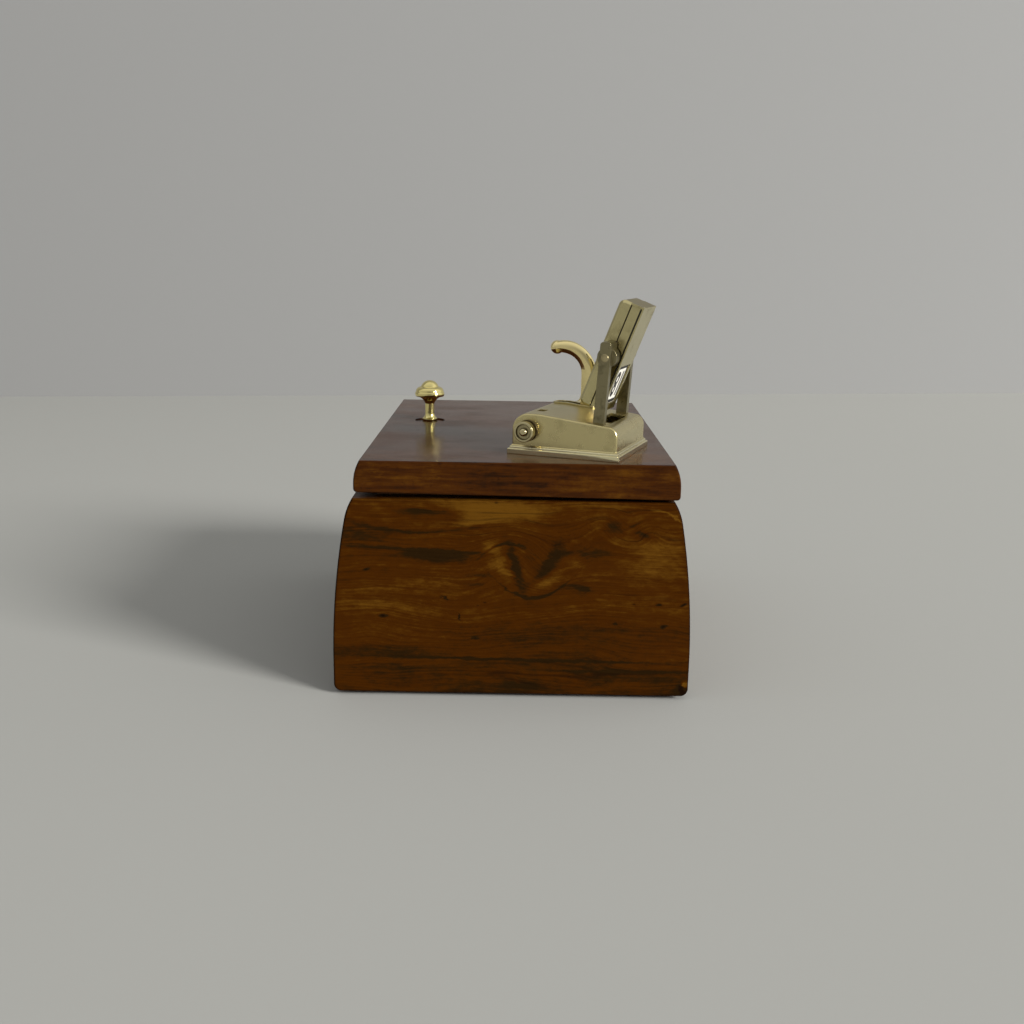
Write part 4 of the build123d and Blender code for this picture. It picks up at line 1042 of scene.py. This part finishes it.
def print_points(text: str, width: float, height: float) -> tuple[np.ndarray, Faces]:
    """Return a printed text's flat mesh, in bold, centred on its middle.

    Args:
        text: the figures to print.
        width: the width that the print fills, in millimetres.
        height: the height that it fills.

    Returns:
        Its points in millimetres, with z at 0, and its faces.
    """
    boldness = 0.025
    steps_a_curve = 6
    curve = bpy.data.curves.new("print", "FONT")
    curve.body = text
    curve.offset = boldness
    curve.resolution_u = steps_a_curve
    holder = bpy.data.objects.new("print", curve)
    bpy.context.scene.collection.objects.link(holder)
    bpy.context.view_layer.update()
    graph = bpy.context.evaluated_depsgraph_get()
    mesh = bpy.data.meshes.new_from_object(holder.evaluated_get(graph))
    numbers = np.empty(3 * len(mesh.vertices), dtype=np.float32)
    mesh.vertices.foreach_get("co", numbers)
    points = numbers.astype(float).reshape(-1, 3)
    faces = [list(polygon.vertices) for polygon in mesh.polygons]
    bpy.data.objects.remove(holder)
    bpy.data.curves.remove(curve)
    bpy.data.meshes.remove(mesh)
    low, high = points.min(axis=0), points.max(axis=0)
    stretch = np.append(np.array([width, height]) / (high - low)[:2], 0.0)
    return (points - (high + low) / 2) * stretch, faces


@dataclass
class SubAssembly:
    """A group of pieces on one body: it dresses the frame's solids and builds what they leave out.

    Each kind names its body, and the solids that each finish goes on.
    """

    workshop: Workshop

    BODY = Body.BOX
    FINISHES = {}

    def dress(self) -> None:
        """Give each solid its finish."""
        LOG.info("%s on %s", type(self).__name__, self.BODY.value)
        for finish, nodes in self.FINISHES.items():
            for node in nodes:
                self.workshop.dress(node, finish)

    def shape(self) -> None:
        """Build the pieces that the solids leave out, where there are any."""

    def build(self) -> None:
        """Dress the solids, then build what they leave out."""
        self.dress()
        self.shape()


@dataclass
class BoxBody(SubAssembly):
    """The bowed box on the table, with its lining, its felts and its side of the hinges."""

    pad_points: int = 360
    pad_corner: float = 3.0
    pad_waver: float = 0.35
    slow_waves: int = 9
    fast_waves: int = 23
    wave_start: float = 1.0

    BODY = Body.BOX
    FINISHES = {
        BODY_WOOD: ("right_end_panel",),
        FAR_END_WOOD: ("left_end_panel",),
        WALL_WOOD: ("front_wall", "rear_wall"),
        LINER_WOOD: ("front_liner", "rear_liner", "right_liner", "left_liner"),
        BOTTOM_WOOD: ("bottom_board",),
        HINGE_BRASS: ("hinge_box_leaves",),
        SCREW_BRASS: ("hinge_box_screws",),
        STEEL: ("hinge_pins",),
        BLACK_FELT: ("base_felt",),
        INNER_FELT: ("bottom_felt",),
    }
    # Half of the pad's section, from its middle out: the share of its reach and of its thickness.
    PAD_HALF_SECTION = ((0.0, 0.0), (0.6, 0.0), (0.99, 0.0), (0.998, 0.3))
    PAD_EDGE = (1.0, 0.5)

    def _pad(self, node: str, finish: Finish) -> None:
        """Build a cut sheet of felt with a slightly uneven, rounded edge, in place of its solid.

        The outline is a rectangle with rounded corners, drawn in by waver * (2 + sin + sin) / 4
        of slow and fast waves. Each row of points is that outline at a share of its size, from the
        middle of the underside out to the edge and back to the middle of the upper side.

        Args:
            node: the solid's name.
            finish: the felt.
        """
        low, high = box_of(node)
        middle, half = (low + high) / 2, (high - low) / 2
        angle = np.linspace(0, math.tau, self.pad_points, endpoint=False)
        away = np.stack([np.cos(angle), np.sin(angle)], axis=-1)
        reach = 1 / (np.abs(away) / (half[:2] - self.pad_corner)).max(axis=-1)
        waves = 2 + np.sin(self.slow_waves * angle + self.wave_start) + np.sin(self.fast_waves * angle)
        outline = away * (reach + self.pad_corner - self.pad_waver * waves / 4)[:, None]
        outline = np.clip(outline, -half[:2], half[:2])
        upper = [(share, 1 - lift) for share, lift in reversed(self.PAD_HALF_SECTION)]
        share, lift = np.array([*self.PAD_HALF_SECTION, self.PAD_EDGE, *upper]).T
        rise = np.broadcast_to((low[2] + 2 * half[2] * lift)[:, None, None], (len(lift), len(angle), 1))
        points = np.concatenate([outline * share[:, None, None] + middle[:2], rise], axis=-1)
        piece = self.workshop.piece(f"{node}_pad", grid_mesh(node, points), self.BODY, finish, "felt")
        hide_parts(node)

    def shape(self) -> None:
        """Lay the felt under the box and the one on its floor."""
        self._pad("base_felt", BLACK_FELT)
        self._pad("bottom_felt", INNER_FELT)


@dataclass
class Lid(SubAssembly):
    """The lid, its turned knob and its side of the hinges."""

    BODY = Body.LID
    FINISHES = {
        LID_WOOD: ("lid_board",),
        KNOB_BRASS: ("lid_knob",),
        HINGE_BRASS: ("hinge_lid_leaves", "lid_knob_washer"),
        SCREW_BRASS: ("hinge_lid_screws",),
        STEEL: ("lid_knob_screw",),
    }


@dataclass
class CalendarStand(SubAssembly):
    """The calendar's plinth, housing and posts, and the coil spring under its lever."""

    spring_x: float = 16.1
    spring_y: float = 36.9
    spring_low: float = 3.9
    spring_length: float = 4.3
    spring_radius: float = 0.85
    wire: float = 0.18
    turns: int = 4
    pressed_share: float = 0.66
    steps_a_turn: int = 24
    wire_sides: int = 10

    BODY = Body.LID
    FINISHES = {
        PLINTH_BRASS: ("calendar_plinth",),
        PLATE_BRASS: ("calendar_housing", "lever_escutcheon", "lever_bracket"),
        POST_BRASS: ("near_post", "far_post"),
        SCREW_BRASS: (
            "plinth_screws", "housing_screws", "post_screws", "near_pivot_screw", "far_pivot_screw"
        ),
        SHADE_DARK_BUSH_BRASS: ("drum_bushes",),
        STEEL: ("lever_pin", "lever_spring"),
    }

    def shape(self) -> None:
        """Wind the spring in place of its rigid solid.

        A point is the helix's point at t plus wire * (cos u along its radius + sin u along z). A
        first and a last section of no size close the wire's ends.
        """
        turn = np.linspace(0, math.tau * self.turns, self.turns * self.steps_a_turn + 1)
        turn = np.concatenate([turn[:1], turn, turn[-1:]])
        thick = np.full(len(turn), self.wire)
        thick[[0, -1]] = 0.0
        around = np.linspace(0, math.tau, self.wire_sides, endpoint=False)
        reach = self.spring_radius + thick[:, None] * np.cos(around)
        rise = (self.spring_length - 2 * self.wire) * turn / turn[-1] + self.spring_low + self.wire
        points = np.stack(
            [
                self.spring_x + reach * np.cos(turn)[:, None],
                self.spring_y + reach * np.sin(turn)[:, None],
                rise[:, None] + thick[:, None] * np.sin(around),
            ],
            axis=-1,
        )
        mesh = grid_mesh("lever_coil", CalendarFrame().to_row(points))
        piece = self.workshop.piece("lever_coil", mesh, self.BODY, STEEL, "steel")
        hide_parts("lever_spring")
        foot = CalendarFrame().to_row(np.array([self.spring_x, self.spring_y, self.spring_low])) * MM
        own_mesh(piece)


@dataclass
class FlipCasing(SubAssembly):
    """The casing between the posts, the painted shade in its joints and the print on its two date cards."""

    half_width: float = 8.2
    half_length: float = 21.0
    # Painted shade: dark strips at the shell's and the back plate's joints.
    shell_joint: float = -0.4
    shell_seam: float = 0.34
    back_joint: float = 4.3
    back_seam: float = 0.8
    seam_proud: float = 0.06
    card_x: float = 4.32
    card_half_width: float = 7.0
    card_low: float = 2.6
    card_high: float = 18.8
    border_inset: float = 0.1
    border_width: float = 1.5
    numeral_width: float = 8.6
    numeral_height: float = 10.8

    BODY = Body.CASING
    FINISHES = {
        CASING_BRASS: ("casing_front_shell", "casing_core", "casing_back_plate"),
        CARD: ("front_date_card", "back_date_card", "spare_date_cards"),
        SHADE_DARK_BUSH_BRASS: ("casing_bushes",),
    }

    def _seam(self, name: str, joint: float, width: float) -> None:
        """Run a thin four-sided strip of painted shade round the casing's core.

        Each ring of points is the bead's section at one of the core's corners: from the joint to
        its width away from it, and a little inside and outside the core's side.

        Args:
            name: the piece's name.
            joint: where the bead starts, through the casing.
            width: how wide it is, and to which side.
        """
        signs = np.array(CORNER_SIGNS + CORNER_SIGNS[:1])
        through = joint + width * np.array([0, 0, 1, 1])
        out = self.seam_proud * np.array([-1, 1, 1, -1])
        points = np.stack(
            [
                np.broadcast_to(through, (len(signs), len(through))),
                signs[:, :1] * (self.half_width + out),
                signs[:, 1:] * (self.half_length + out),
            ],
            axis=-1,
        )
        mesh = grid_mesh(name, CasingFrame().to_row(points))
        self.workshop.piece(name, mesh, self.BODY, SEAM_SHADE, "casing_brass", smooth=False)

    def _border(self) -> tuple[np.ndarray, Faces]:
        """Return the printed border's flat faces, between an outer and an inner rectangle."""
        signs = np.array(CORNER_SIGNS)
        half = np.array([self.card_half_width, (self.card_high - self.card_low) / 2])
        insets = (self.border_inset, self.border_inset + self.border_width)
        flat = np.concatenate([signs * (half - inset) for inset in insets])
        sides = len(signs)
        faces = [[i, (i + 1) % sides, sides + (i + 1) % sides, sides + i] for i in range(sides)]
        return np.column_stack([flat, np.zeros(len(flat))]), faces

    def _print(self, name: str, points: np.ndarray, faces: Faces, side: int) -> None:
        """Lay a print on a card: its own x runs towards -y of the casing and its own y along z.

        Args:
            name: the piece's name.
            points: the print's points, about the card's middle.
            faces: its faces.
            side: -1 for the front card, and 1 for the back one, which reads with the casing flipped.
        """
        rise = points[:, 1] + (self.card_low + self.card_high) / 2
        laid = np.stack([np.full(len(points), side * self.card_x), -points[:, 0], -side * rise], axis=-1)
        mesh = plain_mesh(name, CasingFrame().to_row(laid), faces)
        self.workshop.piece(name, mesh, self.BODY, INK, "card", smooth=False)

    def shape(self) -> None:
        """Run both strips of painted shade, then print both cards."""
        self._seam("shell_seam", self.shell_joint, self.shell_seam)
        self._seam("back_seam", self.back_joint, -self.back_seam)
        for label, side, text in (("front", -1, "17"), ("back", 1, "18")):
            self._print(f"{label}_card_border", *self._border(), side)
            numeral = print_points(text, self.numeral_width, self.numeral_height)
            self._print(f"{label}_card_numeral", *numeral, side)


@dataclass
class MonthDrum(SubAssembly):
    """The month drum, its setting knob and the twelve numerals round its band."""

    axis_x: float = 8.0
    axis_z: float = 9.5
    middle_y: float = 12.5
    band_radius: float = 5.07
    window_angle: float = 65.0
    months: int = 12
    shown: int = 7
    digit_width: float = 1.2
    digit_height: float = 2.0

    BODY = Body.DRUM
    FINISHES = {
        CASING_BRASS: ("month_drum",),
        CARD: ("month_band",),
        STEEL: ("drum_shaft", "ratchet_wheel"),
        SETTING_BRASS: ("setting_knob", "setting_knob_nut"),
    }

    def shape(self) -> None:
        """Print the band: a print's own y wraps round the drum and its own x runs towards -y.

        A point stands at window_angle + a turn for its month - y / band_radius round the drum.
        """
        for month in range(1, self.months + 1):
            label = str(month)
            points, faces = print_points(label, self.digit_width * len(label), self.digit_height)
            turn = math.radians(self.window_angle) + math.tau * (month - self.shown) / self.months
            angle = turn - points[:, 1] / self.band_radius
            wrapped = np.stack(
                [
                    self.axis_x + self.band_radius * np.cos(angle),
                    self.middle_y - points[:, 0],
                    self.axis_z + self.band_radius * np.sin(angle),
                ],
                axis=-1,
            )
            name = f"month_numeral_{month:02d}"
            mesh = plain_mesh(name, CalendarFrame().to_row(wrapped), faces)
            self.workshop.piece(name, mesh, self.BODY, INK, "card", smooth=False)


@dataclass
class HornLever(SubAssembly):
    """The horn-shaped lever, whose shape is all in its solid."""

    BODY = Body.LEVER
    FINISHES = {LEVER_BRASS: ("horn_lever",)}


@dataclass(frozen=True)
class PhotoCamera:
    """The camera of the photograph, in the row's frame."""

    x: float = 0.4
    y: float = -495.4
    z: float = 174.8
    pitch: float = 13.59
    yaw: float = -0.14
    roll: float = 0.90
    focal_pixels: float = 1110.6
    picture_pixels: float = 1024.0
    sensor: float = 36.0
    nearest: float = 10.0

    def build(self) -> None:
        """Place the camera and make it the scene's own."""
        pitch, yaw, roll = (math.radians(angle) for angle in (self.pitch, self.yaw, self.roll))
        ahead = Vector((math.sin(yaw) * math.cos(pitch), math.cos(yaw) * math.cos(pitch), -math.sin(pitch)))
        level = Vector((math.cos(yaw), -math.sin(yaw), 0.0))
        above = level.cross(ahead)
        right = math.cos(roll) * level + math.sin(roll) * above
        up = -math.sin(roll) * level + math.cos(roll) * above
        place = Matrix((right, up, -ahead)).transposed().to_4x4()
        place.translation = Vector((self.x, self.y, self.z)) * MM
        data = bpy.data.cameras.new("photo_camera")
        data.sensor_width = self.sensor
        data.lens = self.focal_pixels * self.sensor / self.picture_pixels
        data.clip_start = self.nearest * MM
        camera = bpy.data.objects.new("photo_camera", data)
        camera.matrix_world = place
        bpy.context.scene.collection.objects.link(camera)
        bpy.context.scene.camera = camera


@dataclass(frozen=True)
class StageFinish(Finish):
    """A matt grey with painted light: its colour grows lighter towards +X, as beside a window."""

    colour: Triple
    side_light: float
    side_reach: float = 500.0
    darkest: float = 0.7
    lightest: float = 1.3
    rough: float = 0.9

    def material(self) -> bpy.types.Material:
        """Build the grey: its colour times 1 + side_light * x / side_reach, held within limits.

        Returns:
            The material.
        """
        recipe = Recipe(self.name)
        across = recipe.split(recipe.place())[0]
        light = recipe.add_share(1.0, across, self.side_light / self.side_reach)
        light = recipe.calc("MINIMUM", recipe.calc("MAXIMUM", light, self.darkest), self.lightest)
        colour = recipe.scale(self.colour, light)
        return recipe.finish(Base_Color=colour, Roughness=self.rough, Specular_IOR_Level=0.0)


@dataclass(frozen=True)
class Studio:
    """The plain grey table and backdrop, the key lamp and the soft room light."""

    table: StageFinish = StageFinish("table_grey", (0.395, 0.395, 0.372), 0.08)
    backdrop: StageFinish = StageFinish("backdrop_grey", (0.312, 0.312, 0.307), 0.095)
    seam_y: float = 821.5
    seam_turn: float = 8.4
    half_width: float = 2600.0
    near_end: float = -2400.0
    height: float = 2600.0
    key_colour: Triple = (1.0, 0.985, 0.96)
    key_azimuth: float = -32.2
    key_elevation: float = 23.0
    key_spread: float = 18.5
    key_strength: float = 4.0
    room: float = 0.50
    room_front: float = 0.40
    ceiling: float = 0.20
    window: float = 0.25
    dim: float = 0.4

    # How far each part of the room light reaches, on the unit sphere of directions.
    BEHIND_RAMP = Ramp(0.1, -0.8)
    CEILING_RAMP = Ramp(0.2, 0.95)
    WINDOW_RAMP = Ramp(0.3, 0.9)
    DIM_WIDTH_RAMP = Ramp(0.55, 0.05)
    DIM_HEIGHT_RAMP = Ramp(0.9, 0.3)

    def _sheet(self, name: str, outline: list[Triple], finish: Finish) -> None:
        """Put one flat stage sheet in the scene.

        Args:
            name: its name.
            outline: its four corners, in millimetres.
            finish: its finish.
        """
        mesh = plain_mesh(name, np.array(outline), [list(range(len(outline)))])
        mesh.materials.append(finish.material())
        sheet = bpy.data.objects.new(name, mesh)
        bpy.context.scene.collection.objects.link(sheet)

    def _stage(self) -> None:
        """Lay the table up to the backdrop, which stands a little turned."""
        slope = math.tan(math.radians(self.seam_turn))
        left = (-self.half_width, self.seam_y - self.half_width * slope, 0)
        right = (self.half_width, self.seam_y + self.half_width * slope, 0)
        near = [(-self.half_width, self.near_end, 0), (self.half_width, self.near_end, 0)]
        top = [(*right[:2], self.height), (*left[:2], self.height)]
        self._sheet("table", [*near, right, left], self.table)
        self._sheet("backdrop", [left, right, *top], self.backdrop)

    def _key(self) -> None:
        """Light the scene from the right of the camera with one wide, far lamp."""
        lamp = bpy.data.lights.new("key_lamp", "SUN")
        lamp.energy = self.key_strength
        lamp.angle = math.radians(self.key_spread)
        lamp.color = self.key_colour
        azimuth, elevation = math.radians(self.key_azimuth), math.radians(self.key_elevation)
        flat = math.cos(elevation)
        towards = Vector((math.cos(azimuth) * flat, math.sin(azimuth) * flat, math.sin(elevation)))
        holder = bpy.data.objects.new("key_lamp", lamp)
        holder.matrix_world = towards.to_track_quat("Z", "Y").to_matrix().to_4x4()
        bpy.context.scene.collection.objects.link(holder)

    def _world(self) -> None:
        """Light the room softly: brighter above and to the right, dimmer behind the camera."""
        world = bpy.data.worlds.new("room")
        world.use_nodes = True
        bpy.context.scene.world = world
        sky = NodeWork(world.node_tree)
        x, y, z = sky.split(sky.node("ShaderNodeTexCoord", {}).outputs["Generated"])
        behind = sky.ease(y, self.BEHIND_RAMP)
        level = sky.add_share(self.room, behind, self.room_front - self.room)
        level = sky.plus(level, sky.ease(z, self.CEILING_RAMP, self.ceiling))
        level = sky.plus(level, sky.ease(x, self.WINDOW_RAMP, self.window))
        narrow = sky.ease(sky.calc("ABSOLUTE", x), self.DIM_WIDTH_RAMP)
        dim = sky.times(sky.times(narrow, behind), sky.ease(z, self.DIM_HEIGHT_RAMP))
        level = sky.times(level, sky.add_share(1.0, dim, -self.dim))
        grey = sky.join(level, level, level)
        background = sky.node("ShaderNodeBackground", {"Color": grey, "Strength": 1.0})
        sky.node("ShaderNodeOutputWorld", {"Surface": background.outputs["Background"]})

    def build(self) -> None:
        """Build the stage, the lamp and the world."""
        self._stage()
        self._key()
        self._world()


def main() -> None:
    """Build the camera, the studio and every sub-assembly, in order."""
    logging.basicConfig(level=logging.INFO, format="%(name)s: %(message)s")
    PhotoCamera().build()
    Studio().build()
    workshop = Workshop()
    for sub_assembly in (BoxBody, Lid, CalendarStand, FlipCasing, MonthDrum, HornLever):
        sub_assembly(workshop).build()


if __name__ == "__main__":
    bpy.context.scene.view_settings.view_transform = "Standard"
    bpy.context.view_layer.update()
    main()
